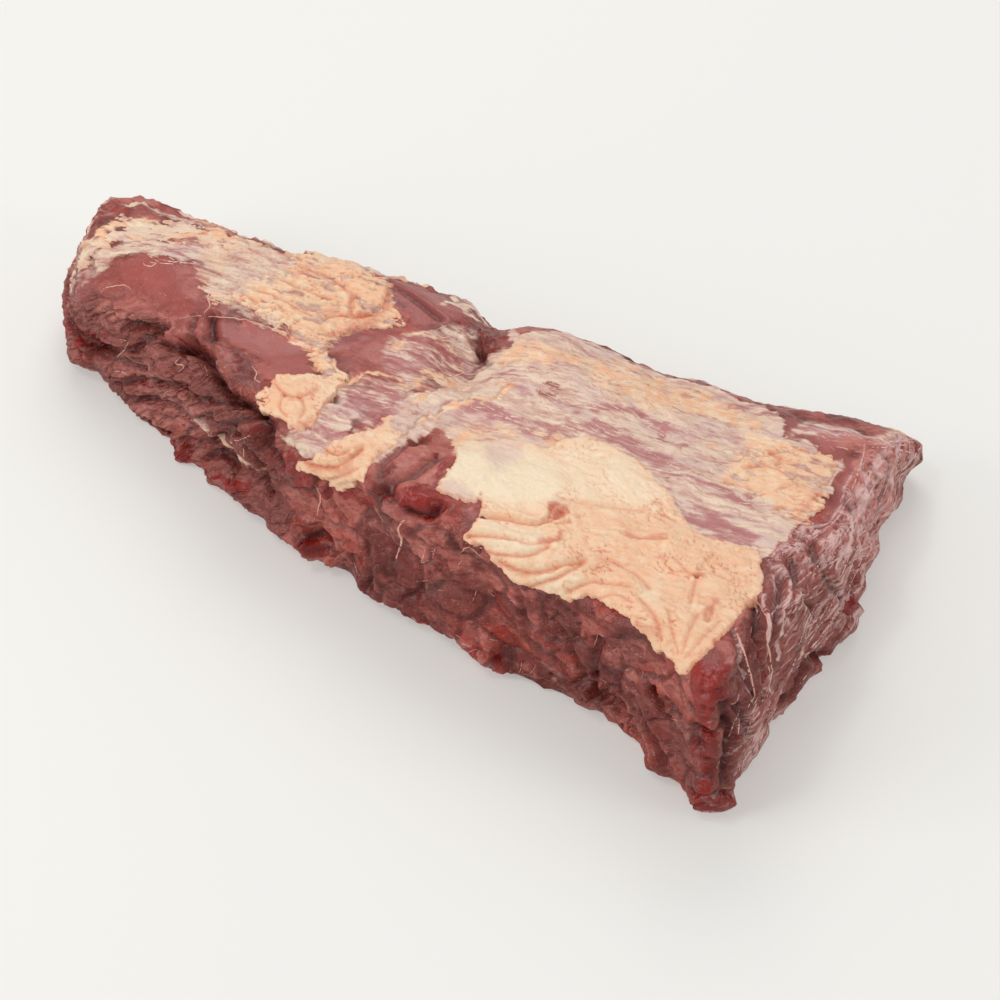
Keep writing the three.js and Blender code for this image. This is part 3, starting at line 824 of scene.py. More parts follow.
def lean_finish(colours):
    """Raw lean beef: fibres, fascia lines, silverskin, thin fat, bright fresh tears, painted crease shade and
    glints.
    """
    f = Finish("raw_lean")
    cut = f.painted("cut")
    butt = f.painted("butt")
    folded = f.painted("folded")
    skin = f.painted("skin")
    fatty = f.painted("fatty")
    bright = f.painted("bright")
    even = f.painted("even")
    crease_shade = f.painted("crease_shade")
    tone = f.painted("tone")
    crinkle = f.painted("crinkle")
    dark_and_shade = f.painted("dark_and_shade")
    place = f.wavy(f.place, 13.0, 6.0)

    large = f.noise(f.place, 26.0, 1.0)
    blotch = f.noise(place, 4.5, 3.0, 0.68)
    haze = f.noise(place, (13.0, 8.0, 6.0), 3.0, 0.65)
    fibre = f.noise(place, (5.0, 0.8, 0.7), 2.0, 0.6)
    grain = f.noise(f.place, 0.5, 0.0)
    grained = f.noise(f.turned(place, about_y=-CREASE_RISE), (9.0, 6.0, 1.6), 3.0, 0.6)
    gentle = f.vector("ADD", f.vector("SCALE", place, 0.22), f.vector("SCALE", f.place, 0.78))
    thread = f.noise(f.turned(gentle, about_x=14), (2.4, 13.0, 0.9), 4.0, 0.72)
    sweep = f.noise(f.turned(gentle, about_x=14), (5.0, 30.0, 2.6), 2.0, 0.6)
    streaks, streak = skin_look(f, colours, place)
    rough = (1 - even * 0.6) * (1 - skin) * (1 - fatty)

    colour = f.blend((large + (tone - 0.5) * 0.3).step(0.36, 0.64), colours.dark_lean_and_shade, colours.lean)
    colour = f.blend(blotch.step(0.54, 0.4) * 0.6, colour, colours.dark_lean_and_shade)
    pinkish = (haze + (tone - 0.5) * 0.25).step(0.46, 0.66)
    colour = f.blend(pinkish * (0.3 + fibre * 0.6), colour, colours.lean_film)
    colour = f.blend((folded * 0.7).maximum(butt * 0.6), colour, colours.lean_brown)
    hazy = (f.painted("haze") * 1.3 - 0.4 + (blotch - 0.5) * 1.5).step(0.0, 0.8)
    colour = f.blend(hazy, colour, colours.lean_film)
    colour = f.blend(even * 0.8, colour, colours.muscle)
    fresh = (bright * 1.5 - 0.55 + (blotch - 0.5) * 2.4).step(0.0, 0.5) * bright.step(0.02, 0.2)
    colour = f.blend(fresh, colour, colours.bright)
    # Painted shade in the finest crinkles.
    colour = f.blend(crinkle * 0.35, colour, colours.dark_lean_and_shade)
    # Painted shade along the fine crease lines of the tail's side and the cut side.
    colour = f.blend(grained.step(0.52, 0.36) * (folded * 0.7 + cut * 0.3), colour, colours.dark_lean_and_shade)
    # Darker lean where painted: partly darker flesh, partly painted shade.
    colour = f.blend(dark_and_shade * (0.5 + blotch * 0.9), colour, colours.dark_lean_and_shade)
    veil = f.painted("film") * 0.35 + (thread - 0.47) * 4.2 + (sweep - 0.5) * 3.6 - dark_and_shade * 1.2
    veil = veil.step(0.0, 1.1) * butt * (1 - fresh)
    colour = f.blend(veil * 0.85, colour, colours.film)
    colour = f.blend((0.48 - thread).step(0.0, 0.1) * butt * 0.85, colour, colours.dark_lean_and_shade)
    # Pale specks painted as tiny glints.
    glint_specks = (grain.step(0.72, 0.8) + fibre.step(0.64, 0.74) * haze.step(0.48, 0.58)) * (1 - fresh) * 0.45
    colour = f.blend(glint_specks.clamped(), colour, colours.fascia)
    pale = (f.painted("pale") * 1.4 - 0.5 + (blotch - 0.5) * 1.4).step(0.0, 0.7)
    colour = f.blend(pale, colour, colours.film)

    skin_share = (skin * 1.4 - 0.3 + (streak - 0.5) * 1.4 * (1 - skin * 0.4)).step(0.0, 0.6)
    skin_share = skin_share * skin.step(0.02, 0.25) * (1 - fresh * 0.85)
    colour = f.blend(skin_share, colour, streaks)
    fat_share = (fatty * 1.4 - 0.45 + (streak - 0.5) * 1.8 + (blotch - 0.5) * 1.0).step(0.0, 0.75)
    fat_share = fat_share * fatty.step(0.02, 0.2) * (1 - fresh * 0.85)
    colour = f.blend(fat_share, colour, fat_look(f, colours, blotch, streak))
    # Painted shade in the bottom of creases.
    colour = f.blend(crease_shade * 0.85, colour, colours.hollow_shade)

    height = grain * 0.1 + (fibre * 0.25 + blotch * 0.6) * rough + grained * (folded * 1.8 + cut * 0.7)
    height = height + thread * butt * 0.9 + streak * skin * 1.1 + fat_share * 0.25
    f.set(Base_Color=colour, Roughness=0.42 + (grain - 0.5) * 0.2 - fresh * 0.15)
    f.set(Specular_IOR_Level=0.32, Coat_Weight=0.16, Coat_Roughness=0.14)
    f.bump(height)
    return f.material


def fat_finish(colours):
    """Raw beef fat: waxy cream and peach, redder in its creases and where it is thin."""
    f = Finish("raw_fat")
    pale = f.painted("pale")
    crease = f.painted("crease")
    fade = f.painted("fade")
    place = f.wavy(f.place, 13.0, 6.0)

    run = f.turned(place, about_z=8)
    mottle = f.noise(place, 7.0, 3.0, 0.65)
    blush = f.noise(run, (4.5, 2.0, 2.4), 4.0, 0.7)
    fine = f.noise(run, (2.0, 0.8, 1.1), 2.0, 0.6)
    streaks, streak = skin_look(f, colours, place)

    colour = f.blend(mottle.step(0.38, 0.62), colours.fat_pale, colours.fat)
    colour = f.blend(blush.step(0.48, 0.66) * (1 - pale * 0.75) * 0.8, colour, colours.fat_peach)
    colour = f.blend(f.painted("peach") * 0.45, colour, colours.fat_peach)
    colour = f.blend(pale * 0.85, colour, colours.fat_cream)
    colour = f.blend(blush.step(0.44, 0.34) * (1 - pale * 0.5) * 0.5, colour, colours.fat_cream)
    colour = f.blend(blush.step(0.62, 0.74) * (1 - pale) * 0.25, colour, colours.fat_red)
    colour = f.blend(crease * (0.4 + fine * 0.8), colour, colours.fat_red)
    colour = f.blend(f.painted("red") * (0.4 + fine * 0.8), colour, colours.fat_blood)
    colour = f.blend(f.painted("lilac") * (0.3 + mottle * 0.6), colour, colours.skin_grey)
    colour = f.blend(f.painted("thin") * 0.4, colour, colours.fat_red)
    left = (fade * 1.4 - 0.4 + (streak - 0.5) * 2.4).step(0.0, 0.5) * fade.step(0.02, 0.2)
    colour = f.blend(left, colour, streaks)
    shows = (f.painted("bare") * 1.2 - 0.2 + (0.5 - streak) * 2.0).step(0.3, 0.8)
    colour = f.blend(shows * 0.8, colour, f.blend(mottle.step(0.4, 0.6) * 0.6, streaks, colours.lean_film))

    height = fine * 0.25 + blush * 0.7 * (1 - pale * 0.75) + streak * fade * 0.8
    f.set(Base_Color=colour, Roughness=0.42 + (fine - 0.5) * 0.16)
    f.set(Subsurface_Weight=0.12, Subsurface_Radius=(1.0, 0.6, 0.35), Subsurface_Scale=0.0012)
    f.set(Specular_IOR_Level=0.4, Coat_Weight=0.1, Coat_Roughness=0.2)
    f.bump(height)
    return f.material


def strand_finish(name, first, second):
    """Wet pale strands, in two colours that run into each other."""
    f = Finish(name)
    mottle = f.noise(f.place, 3.0, 2.0)
    colour = f.blend(mottle.step(0.35, 0.65), first, second)
    f.set(Base_Color=colour, Roughness=0.4 + mottle * 0.1, Coat_Weight=0.1, Coat_Roughness=0.2)
    f.bump(mottle * 0.2)
    return f.material


# ---- Settings ----

def colour_value(name, description, value):
    return bpy.props.FloatVectorProperty(
        name=name, description=description, size=3, subtype="COLOR", min=0, max=1, default=value)


def length_value(name, description, value):
    return bpy.props.FloatProperty(
        name=name, description=description, subtype="DISTANCE", unit="LENGTH", default=value)


class BeefColours(bpy.types.PropertyGroup):
    """The colours of the meat."""
    lean: colour_value("Lean", "Ordinary lean", ink(160, 58, 44))
    # Darker lean, and also the colour of painted shade in folds and fine creases.
    dark_lean_and_shade: colour_value("Dark lean", "Lean in the shaded folds", ink(111, 36, 27))
    lean_film: colour_value("Hazy lean", "Lean under a thin pinkish film", ink(188, 110, 98))
    lean_brown: colour_value("Brown lean", "Lean that has dried a little in the air", ink(152, 82, 72))
    bright: colour_value("Bright lean", "Freshly torn, wet lean", ink(142, 28, 20))
    muscle: colour_value("Smooth muscle", "Muscle under clear skin", ink(158, 79, 73))
    # The colour of painted shade in the bottom of creases.
    hollow_shade: colour_value("Hollow", "The bottom of creases", ink(66, 16, 13))
    # Also the colour of the pale specks painted on the lean as tiny glints.
    fascia: colour_value("Fascia", "Fine pale lines between bundles", ink(214, 152, 138))
    film: colour_value("Film", "Whitish film on the butt end", ink(222, 182, 176))
    film_pale: colour_value("Pale film", "The whitest strands of film", ink(214, 176, 170))
    silverskin: colour_value("Silverskin", "Pinkish-tan skin", ink(202, 156, 141))
    skin_pale: colour_value("Pale skin", "Creamy streaks in the skin", ink(232, 205, 180))
    skin_grey: colour_value("Grey skin", "Skin with a grey-lilac sheen", ink(204, 168, 164))
    skin_purple: colour_value("Purple skin", "Muscle that shows through the skin", ink(177, 106, 104))
    fat: colour_value("Fat", "Peach-coloured fat", ink(240, 194, 156))
    fat_pale: colour_value("Pale fat", "Light fat", ink(240, 208, 174))
    fat_cream: colour_value("Cream fat", "Smooth yellowish fat", ink(234, 214, 182))
    fat_peach: colour_value("Deep fat", "Warmer blotches in the fat", ink(236, 178, 138))
    fat_red: colour_value("Crease in the fat", "Orange-red creases in the fat", ink(214, 112, 76))
    fat_blood: colour_value("Blood in the fat", "Red spots in the fat", ink(194, 72, 50))
    sinew: colour_value("Sinew", "Whitish threads", ink(222, 172, 152))


class BeefSizes(bpy.types.PropertyGroup):
    """The sizes of the reliefs and layers."""
    lump: length_value("Lumps", "How far the flesh swells and sinks", 0.8 * MM)
    facet: length_value("Facets", "How far the facets of the cut side are tilted", 2.6 * MM)
    skin: length_value("Skin", "How high the streaks of the silverskin stand", 0.8 * MM)
    fold: length_value("Folds", "How deep the folds of the tail's side are", 1.4 * MM)
    cell: length_value("Bundles", "How deep the lines between bundles of the cut side are", 0.8 * MM)
    pleat: length_value("Pleats", "How deep the fine creases of the tail's side are", 1.1 * MM)
    film: length_value("Film", "How far the streaks of film stand out on the butt end", 0.42 * MM)
    crinkle: length_value("Crinkles", "How deep the finest creases of the lean are", 0.36 * MM)
    groove: length_value("Grooves", "How deep the grooves of the butt end are", 1.5 * MM)
    cap: length_value("Fat cap", "How far the fat cap stands above the solid", 0.9 * MM)
    cap_cell: length_value("Fat cap's mesh", "The cells of the fat cap's mesh", 0.55 * MM)
    sink: length_value("Sinking", "How far a layer's torn edge sinks into the lean", 1.6 * MM)


# ---- Pieces ----

def region_shares(normal):
    """How far each place belongs to the side cut across the grain, and to the butt end."""
    cut = smooth(0.35, 0.75, -normal[:, 1]) * smooth(0.9, 0.5, np.abs(normal[:, 0]))
    butt = smooth(0.35, 0.75, normal[:, 0])
    return cut, butt


def facing(place, normal):
    """How squarely the photograph looks at the surface: 1 straight on, 0 at its outline, less behind."""
    towards = CAMERA.place - place
    towards /= np.linalg.norm(towards, axis=1)[:, None]
    return np.sum(towards * normal, axis=1)


def shown_share(place, normal):
    """1 where the photograph looks at the surface, falling to 0 where it turns away."""
    return smooth(0.0, 0.25, facing(place, normal))


def crease_section(gap, lip_place):
    """A crease across its line, for gaps in half widths: how deep it is, and how high its lips stand."""
    return np.exp(-gap ** 2), np.exp(-((gap - lip_place) / LIP_WIDTH) ** 2)


def divide_where_shown(piece, ground):
    """Divides the faces that the photograph shows, the steep ones twice, and lays them on the ground."""
    faces = read(piece.data.polygons, "center")
    edit(piece, "FACE", faces[:, 2] < WELD, bpy.ops.mesh.dissolve_limited, angle_limit=math.radians(1))
    for steep_only in (False, True):
        centre, normal = read(piece.data.polygons, "center"), read(piece.data.polygons, "normal")
        covered = paint(CAMERA.pixels(centre), [area(edge, 3) for edge in SHEET_EDGES]) > 0.95
        turned = facing(centre, normal)
        chosen = (turned > 0) & ~covered
        if steep_only:
            steep = (turned > 0.08) & ((normal[:, 1] < -STEEP) | (normal[:, 0] > STEEP))
            rim = (turned < 0.06) & (normal[:, 2] > 0.3)
            chosen &= steep | rim
        edit(piece, "FACE", chosen, bpy.ops.mesh.subdivide, number_cuts=1)
    place = places(piece.data)
    for i in np.flatnonzero(place[:, 2] > WELD):
        place[i] = ground.tree.find_nearest(Vector(place[i]))[0]
    move_to(piece.data, place)


class LeanRelief:
    """How far each vertex of the lean is moved, and the numbers that its material reads.

    Each step adds to the relief, in metres along the normal, and to the crease shade, which is 1 in the
    bottom of creases, where the material paints shade. Calm is the share of smooth skin and fat, which the
    coarse relief leaves alone.
    """

    def __init__(self, mesh, sizes):
        self.mesh = mesh
        self.sizes = sizes
        self.place, self.normal = places(mesh), normals(mesh)
        self.point = self.place / MM
        self.pixel = CAMERA.pixels(self.place)
        self.shown = shown_share(self.place, self.normal)
        self.cut, self.butt = region_shares(self.normal)
        self.tail = smooth(10, -40, self.point[:, 0])
        self.side = smooth(0.1, 0.6, -self.normal[:, 1])
        self.creased = along_creases(self.point)
        self.wander = pushed(self.point, 11, 4.5)
        self.open_share = smooth(-0.25, 0.25, lumps(self.point, 8, 2, 5.2))
        self.paint_regions()

    def paint_regions(self):
        """Paints the regions read from the photograph, and made-up ones where it doesn't look."""
        marked = torn(self.pixel, self.point)
        less_torn = 0.3 * marked + 0.7 * self.pixel
        painted = {name: paint(less_torn if name == "pale" else marked, shapes) * self.shown
                   for name, shapes in LEAN_PAINT.items()}
        hidden = (1 - self.shown) * smooth(8, 20, self.point[:, 2])
        painted["skin"] += hidden * 0.6 * smooth(-0.1, 0.5, lumps(self.point, (30, 30, 18), 2, 4.1))
        painted["fatty"] += hidden * 0.7 * smooth(0.25, 0.6, lumps(self.point, (26, 26, 12), 2, 9.3))
        self.butt = np.maximum(self.butt, painted.pop("butt"))
        self.calm = np.maximum.reduce([painted["skin"] * 0.7, painted["even"], painted["fatty"] * 0.4])
        self.painted = painted

    def add_crease_shade(self, crease_shade):
        """Marks more places as the bottom of creases, where the material paints shade."""
        self.crease_shade = np.maximum(self.crease_shade, crease_shade)

    def swell(self):
        """The flesh's swellings, and the streaks of the silverskin along the muscle."""
        self.relief = self.sizes.lump * lumps(self.point, 16, 4, 1.7) * (1 - self.calm * 0.5)
        ridges = puffs(lumps(along_muscle(self.wander), (15, 3.2, 5), 3, 12.1), 0.3)
        self.relief += self.sizes.skin * (ridges - 0.7) * self.painted["skin"] * self.shown

    def fold_tail(self):
        """The tail's side: long folds, sharp facets and fine pleats, which all rise towards the butt."""
        folds = puffs(lumps(self.creased, (34, 26, 9), 2, 3.3), 0.18)
        share = self.tail * self.side * (1 - self.calm)
        self.relief += self.sizes.fold * (folds - 0.7) * share
        self.relief -= 0.8 * MM * share
        self.crease_shade = smooth(0.4, 0.1, folds) * share * 0.6

        pleats = seams(pushed(self.creased, 18, 3.0), (26, 12, 5), 8.8, 0.13, 2)
        pleats = pleats * share * (0.4 + 0.6 * self.open_share)
        tilt, tone, gap = facets(pushed(self.creased, 11, 3.0), (17, 11, 6), 7.7)
        border = smooth(0.13, 0.0, gap)
        self.relief += (0.9 * self.sizes.facet * tilt - self.sizes.cell * border) * share
        self.relief -= self.sizes.pleat * pleats
        self.add_crease_shade(np.maximum(pleats ** 2 * 0.8, border * share * (0.25 + 0.5 * self.open_share)))
        self.fold_share, self.fold_tone = share, tone * share

    def facet_side(self):
        """The side cut across the grain: large and small facets, the bundles' borders and fine slits."""
        share = self.cut * (1 - self.tail) * (1 - self.calm)
        tilt, tone, gap = facets(self.wander, (21, 16, 13), 2.2)
        small_tilt, small_tone, small_gap = facets(self.wander, (9, 7, 6), 4.4)
        faceted = np.maximum(share, 0.5 * (1 - self.calm) * (1 - self.butt))
        self.relief += self.sizes.facet * (tilt + 0.4 * small_tilt) * faceted
        bundles = smooth(0.14, 0.0, gap) * share
        slits = smooth(0.1, 0.0, small_gap) * share * (1 - self.open_share)
        self.relief -= self.sizes.cell * bundles + 0.5 * self.sizes.cell * slits
        self.add_crease_shade(bundles * (0.3 + 0.5 * self.open_share))
        self.add_crease_shade(slits * 0.6)
        self.tone = 0.5 + tone + 0.5 * small_tone + self.fold_tone

    def groove_butt(self):
        """The butt end: slanting grooves, and streaks of film that stand out between them."""
        bent = pushed(self.point, 22, 3.0)
        slope = np.stack([bent[:, 0], bent[:, 1] * 0.97 + bent[:, 2] * 0.24,
                          bent[:, 2] * 0.97 - bent[:, 1] * 0.24], 1)
        grooves = puffs(lumps(slope, (14, 36, 8), 2, 6.1), 0.2)
        self.film = smooth(-0.2, 0.4, lumps(slope, (3.0, 15.0, 1.7), 3, 6.6)) * self.butt
        self.relief += self.sizes.groove * (grooves - 0.7) * self.butt + self.sizes.film * self.film
        self.add_crease_shade(smooth(0.36, 0.08, grooves) * self.butt * 0.55)

    def roughen(self):
        """The finest crinkles, the uneven rim of the top, and the torn tags along the bottom edge."""
        self.crinkle = seams(self.wander, (9.0, 7.0, 5.0), 3.1) * (1 - self.calm)
        self.relief -= self.sizes.crinkle * self.crinkle
        self.relief += self.sizes.crinkle * lumps(self.point, 3.5, 2, 9.9) * (1 - self.calm)
        rim = smooth(0.35, 0.0, np.abs(facing(self.place, self.normal))) * smooth(20, 30, self.point[:, 2])
        self.relief += (0.35 + 0.9 * self.tail) * MM * lumps(self.point, (6, 6, 4), 3, 31.0) * rim
        tags = smooth(12, 3, self.point[:, 2]) * smooth(0.25, 0.8, lumps(self.point, (22, 22, 10), 2, 7.7))
        tags *= smooth(60, 30, self.point[:, 1])
        self.relief += 2.0 * MM * tags * np.maximum(self.side, self.butt)
        self.painted["bright"] = np.maximum(self.painted["bright"], tags * 0.5)

    def crease_and_bulge(self, ground):
        """The single creases and bulges that the photograph shows."""
        for pixels, width, depth in LEAN_CREASES:
            gap = away(self.place, ground.track(pixels)) / (width * MM)
            pit, lip = crease_section(gap, 2.1)
            self.relief -= 1.3 * depth * MM * pit
            self.relief += 0.35 * depth * MM * lip
            self.add_crease_shade(min(1.0, depth / 2.0) * np.exp(-(gap * 1.2) ** 2))
        for pixel, radius, height in LEAN_BULGES:
            gap = np.linalg.norm(self.place - ground.spot(pixel), axis=1) / (radius * MM)
            self.relief += height * MM * np.exp(-gap ** 4) * (0.8 + 0.6 * lumps(self.point, 4, 2, 35.0))

    def sink_under_fat(self):
        """Calms the lean under the layers of fat, and lowers it there, so that it doesn't come through."""
        depth = np.maximum.reduce([inside(self.pixel, curve_through(edge, 3, closed=True))
                                   for edge in SHEET_EDGES])
        self.relief *= 1 - 0.75 * smooth(-6, 3, depth) * self.shown
        self.relief -= 1.0 * MM * smooth(4, 9, depth) * self.shown

    def move(self):
        """Moves the vertices, except the flat underside, and keeps what the material reads."""
        pull = np.zeros((len(self.point), 3))
        for pixel, radius, right, up in LEAN_PULLS:
            gap = np.linalg.norm(self.pixel - pixel, axis=1) / radius
            pull += np.exp(-gap[:, None] ** 2) * (right * CAMERA.right + up * CAMERA.up) * MM
        shift = self.normal * self.relief[:, None] + pull
        shift[:, 2] *= smooth(0.6, 3.0, self.point[:, 2])
        move_to(self.mesh, self.place + shift)
        lowest = places(self.mesh)
        lowest[:, 2] = np.maximum(lowest[:, 2], 0.0)
        move_to(self.mesh, lowest)
        kept = {**self.painted, "cut": self.cut * (1 - self.tail), "butt": self.butt,
                "folded": self.fold_share, "crease_shade": self.crease_shade, "film": self.film,
                "crinkle": self.crinkle, "tone": self.tone}
        for name, values in kept.items():
            keep_value(self.mesh, name, np.clip(values, 0, 1))


class BEEF_OT_lean(bpy.types.Operator):
    """Makes the lean: the whole body of the meat, with its folds, creases and painted regions"""
    bl_idname = "beef.lean"
    bl_label = "Lean"

    def execute(self, context):
        base = flesh_copy("base", 2)
        ground = STATE["ground"] = Ground(base.data)
        bpy.data.objects.remove(base)
        piece = flesh_copy("lean", 1)
        divide_where_shown(piece, ground)
        relief = LeanRelief(piece.data, context.scene.beef_sizes)
        relief.swell()
        relief.fold_tail()
        relief.facet_side()
        relief.groove_butt()
        relief.roughen()
        relief.crease_and_bulge(ground)
        relief.sink_under_fat()
        relief.move()
        finish_piece(piece, lean_finish(context.scene.beef_colours), replaces=True)
        STATE["lean"] = Ground(piece.data)
        return {"FINISHED"}


FAT_CAP_EDGE = [
    (457, 443), (453, 460), (446, 474), (436, 489), (448, 496), (464, 503), (478, 505), (481, 494),
    (478, 510), (472, 525), (464, 540), (480, 545), (490, 559), (500, 570), (520, 587), (545, 590),
    (560, 594), (572, 601), (590, 598), (610, 607), (626, 616), (636, 629), (648, 640), (656, 651),
    (672, 662), (682, 678), (690, 667), (700, 655), (730, 630), (750, 605), (762, 590), (763, 570),
    (757, 546), (735, 543), (700, 533), (684, 514), (662, 486), (640, 463), (615, 446), (600, 436),
    (580, 436), (540, 444), (500, 440), (470, 440),
]
FAR_FAT_EDGE = [
    (700, 418), (740, 428), (785, 440), (800, 450), (820, 455), (835, 460), (835, 471), (828, 482),
    (822, 495), (823, 509), (812, 520), (798, 526), (780, 514), (755, 500), (735, 488), (700, 478),
    (672, 458), (690, 446), (720, 452), (745, 450), (720, 440), (690, 430),
]
BACK_FAT_EDGE = [
    (240, 248), (275, 252), (300, 256), (345, 258), (368, 272), (390, 290), (398, 308), (394, 325),
    (372, 330), (345, 334), (330, 345), (338, 368), (346, 384), (336, 388), (318, 378), (306, 350),
    (290, 334), (262, 318), (235, 308), (212, 300), (205, 285), (222, 272), (228, 258),
]
KNOB_EDGE = [
    (258, 400), (262, 390), (275, 378), (290, 374), (315, 377), (340, 380), (336, 392), (328, 400),
    (322, 410), (312, 424), (290, 427), (272, 416),
]
FOLD_EDGE = [
    (298, 470), (310, 455), (325, 446), (340, 438), (372, 430), (400, 410), (430, 395), (470, 386),
    (500, 384), (495, 398), (455, 404), (430, 416), (402, 436), (395, 446), (375, 460), (365, 475),
    (350, 486), (340, 490), (320, 478), (305, 473),
]
BAND_EDGE = [
    (76, 268), (84, 248), (98, 235), (114, 225), (121, 214), (128, 221), (160, 221), (200, 225), (240, 234),
    (262, 246), (240, 250), (205, 245), (165, 242), (130, 240), (108, 244), (92, 254), (82, 270),
]

SHEET_EDGES = (FAT_CAP_EDGE, FAR_FAT_EDGE, BACK_FAT_EDGE, KNOB_EDGE, FOLD_EDGE)

# Folds pressed into the fat: line in pixels, half width and depth in millimetres.
CAP_FOLDS = [
    ([(474, 517), (500, 519), (530, 525), (545, 523), (562, 516)], 1.5, 1.3),
    ([(545, 523), (556, 525), (570, 524)], 1.0, 0.8),
    ([(548, 520), (553, 508), (560, 505)], 0.8, 0.7),
    ([(469, 536), (490, 537), (511, 541)], 1.3, 1.2),
    ([(511, 541), (530, 546), (545, 544), (563, 540)], 1.2, 0.6),
    ([(500, 562), (520, 571), (540, 573), (560, 568), (584, 562)], 1.4, 1.2),
    ([(482, 550), (505, 556), (530, 556), (548, 548)], 1.3, 0.8),
    ([(530, 586), (548, 581), (562, 577), (582, 566)], 1.2, 0.9),
    ([(570, 591), (590, 584), (606, 585), (630, 588)], 1.2, 0.9),
    ([(600, 600), (615, 596), (632, 604)], 1.1, 0.6),
    ([(622, 535), (640, 539), (666, 541)], 1.0, 0.6),
    ([(560, 500), (600, 508), (650, 512)], 1.4, 0.4),
    ([(600, 560), (630, 572), (650, 590)], 1.3, 0.5),
    ([(640, 600), (655, 618), (662, 640)], 1.2, 0.6),
    ([(700, 605), (712, 610), (708, 622)], 0.9, 0.6),
    ([(697, 578), (686, 572), (676, 560)], 0.8, 0.5),
    ([(697, 578), (694, 590), (690, 606)], 0.8, 0.5),
    ([(697, 578), (710, 576), (724, 580)], 0.8, 0.5),
    ([(697, 578), (702, 566), (714, 556)], 0.8, 0.4),
    ([(680, 655), (672, 630), (668, 612)], 0.8, 0.5),
    ([(684, 655), (690, 632), (698, 615)], 0.8, 0.5),
    ([(690, 655), (706, 636), (722, 622)], 0.8, 0.4),
]
KNOB_FOLDS = [
    ([(275, 385), (285, 395), (300, 398), (318, 390)], 1.0, 0.7),
    ([(285, 395), (280, 408), (288, 418)], 0.9, 0.6),
    ([(300, 398), (305, 410), (300, 420)], 0.9, 0.6),
]
FOLD_FOLDS = [
    ([(306, 462), (325, 468), (345, 464), (362, 450)], 1.2, 1.1),
    ([(325, 450), (338, 456), (350, 452)], 0.9, 0.8),
    ([(330, 478), (345, 474), (358, 470)], 0.9, 0.6),
]
BACK_FOLDS = [
    ([(350, 318), (365, 318), (382, 308), (388, 296)], 1.2, 1.0),
    ([(356, 298), (350, 306), (352, 316)], 1.0, 0.8),
    ([(240, 268), (270, 276), (300, 290), (330, 300)], 1.2, 0.8),
    ([(255, 290), (285, 302), (310, 318)], 1.1, 0.8),
    ([(300, 268), (325, 276), (345, 290)], 1.1, 0.8),
    ([(318, 325), (335, 318), (352, 320)], 1.1, 0.8),
    ([(222, 285), (240, 292), (258, 304)], 1.0, 0.6),
]
FAR_FOLDS = [
    ([(745, 470), (770, 468), (790, 478)], 1.0, 0.7),
    ([(780, 490), (800, 486), (815, 492)], 0.9, 0.5),
    ([(735, 455), (760, 458), (785, 452)], 1.0, 0.5),
]
SHEET_PAINTS = ("pale", "peach", "lilac", "red")
CAP_PAINT = {
    "fade": [
        line([(462, 440), (500, 438), (540, 441), (580, 434), (615, 444), (642, 463), (664, 486),
              (686, 514), (702, 531), (735, 541), (758, 545)], 3, 8),
    ],
    "peach": [
        area([(590, 500), (680, 525), (760, 548), (766, 590), (725, 640), (684, 680), (640, 632),
              (600, 600), (560, 580), (570, 540)], 22),
    ],
    "pale": [
        area([(445, 450), (490, 445), (540, 455), (562, 475), (555, 505), (520, 508), (470, 500),
              (440, 490)], 12),
        area([(480, 520), (520, 528), (545, 535), (540, 560), (505, 556), (480, 540)], 8, 0.7),
        area([(540, 572), (575, 572), (585, 585), (550, 588)], 6, 0.7),
        area([(640, 585), (660, 590), (655, 610), (640, 605)], 6, 0.6),
        area([(560, 445), (610, 450), (645, 480), (650, 510), (590, 512), (560, 490)], 14, 0.6),
    ],
    "lilac": [
        area([(485, 448), (520, 446), (522, 462), (495, 470)], 7, 0.8),
        area([(436, 489), (450, 484), (470, 492), (476, 503), (460, 502)], 4, 0.8),
        line([(758, 545), (764, 570), (760, 592)], 4, 4, 0.5),
    ],
    "red": [
        area([(548, 508), (560, 505), (566, 516), (552, 520)], 3, 0.8),
        line([(540, 543), (556, 541), (563, 536)], 3, 3, 0.7),
        line([(705, 615), (712, 608), (716, 600)], 3, 3, 0.6),
        line([(625, 533), (645, 538), (668, 541)], 1.5, 2, 0.5),
        line([(640, 625), (652, 632), (660, 628)], 3, 4, 0.4),
        line([(696, 577), (699, 579)], 1.5, 2, 0.8),
    ],
}


BACK_PAINT = {
    "fade": [
        area([(205, 240), (260, 246), (300, 256), (262, 285), (225, 300), (200, 285)], 14, 0.75),
        line([(262, 318), (290, 336), (330, 350)], 4, 8, 0.6),
        line([(300, 258), (345, 262), (372, 276)], 4, 8, 0.5),
    ],
    "red": [
        line([(390, 288), (388, 306), (372, 318), (352, 322)], 3, 4, 0.7),
        line([(330, 335), (350, 330), (372, 328)], 3, 4, 0.7),
        line([(286, 272), (300, 274), (312, 270)], 2, 3, 0.6),
        line([(345, 288), (352, 300), (350, 312)], 2, 3, 0.5),
        line([(318, 318), (332, 312), (345, 318)], 2, 3, 0.5),
    ],
    "peach": [area([(320, 262), (392, 285), (398, 325), (345, 340), (325, 372), (300, 345),
                    (310, 300)], 10)],
}
FAR_PAINT = {
    "fade": [
        area([(660, 405), (740, 425), (745, 450), (720, 480), (690, 482), (660, 450)], 14, 0.8),
        line([(730, 490), (760, 505), (800, 528)], 5, 8, 0.7),
        line([(740, 428), (790, 442)], 4, 6, 0.6),
    ],
    "red": [
        line([(722, 480), (735, 486), (750, 494)], 2.5, 3, 0.5),
        line([(768, 452), (780, 457), (776, 466)], 2, 3, 0.6),
        line([(800, 515), (812, 505), (818, 495)], 3, 4, 0.4),
    ],
    "peach": [area([(755, 455), (835, 460), (820, 500), (800, 525), (740, 490)], 14, 0.8)],
}
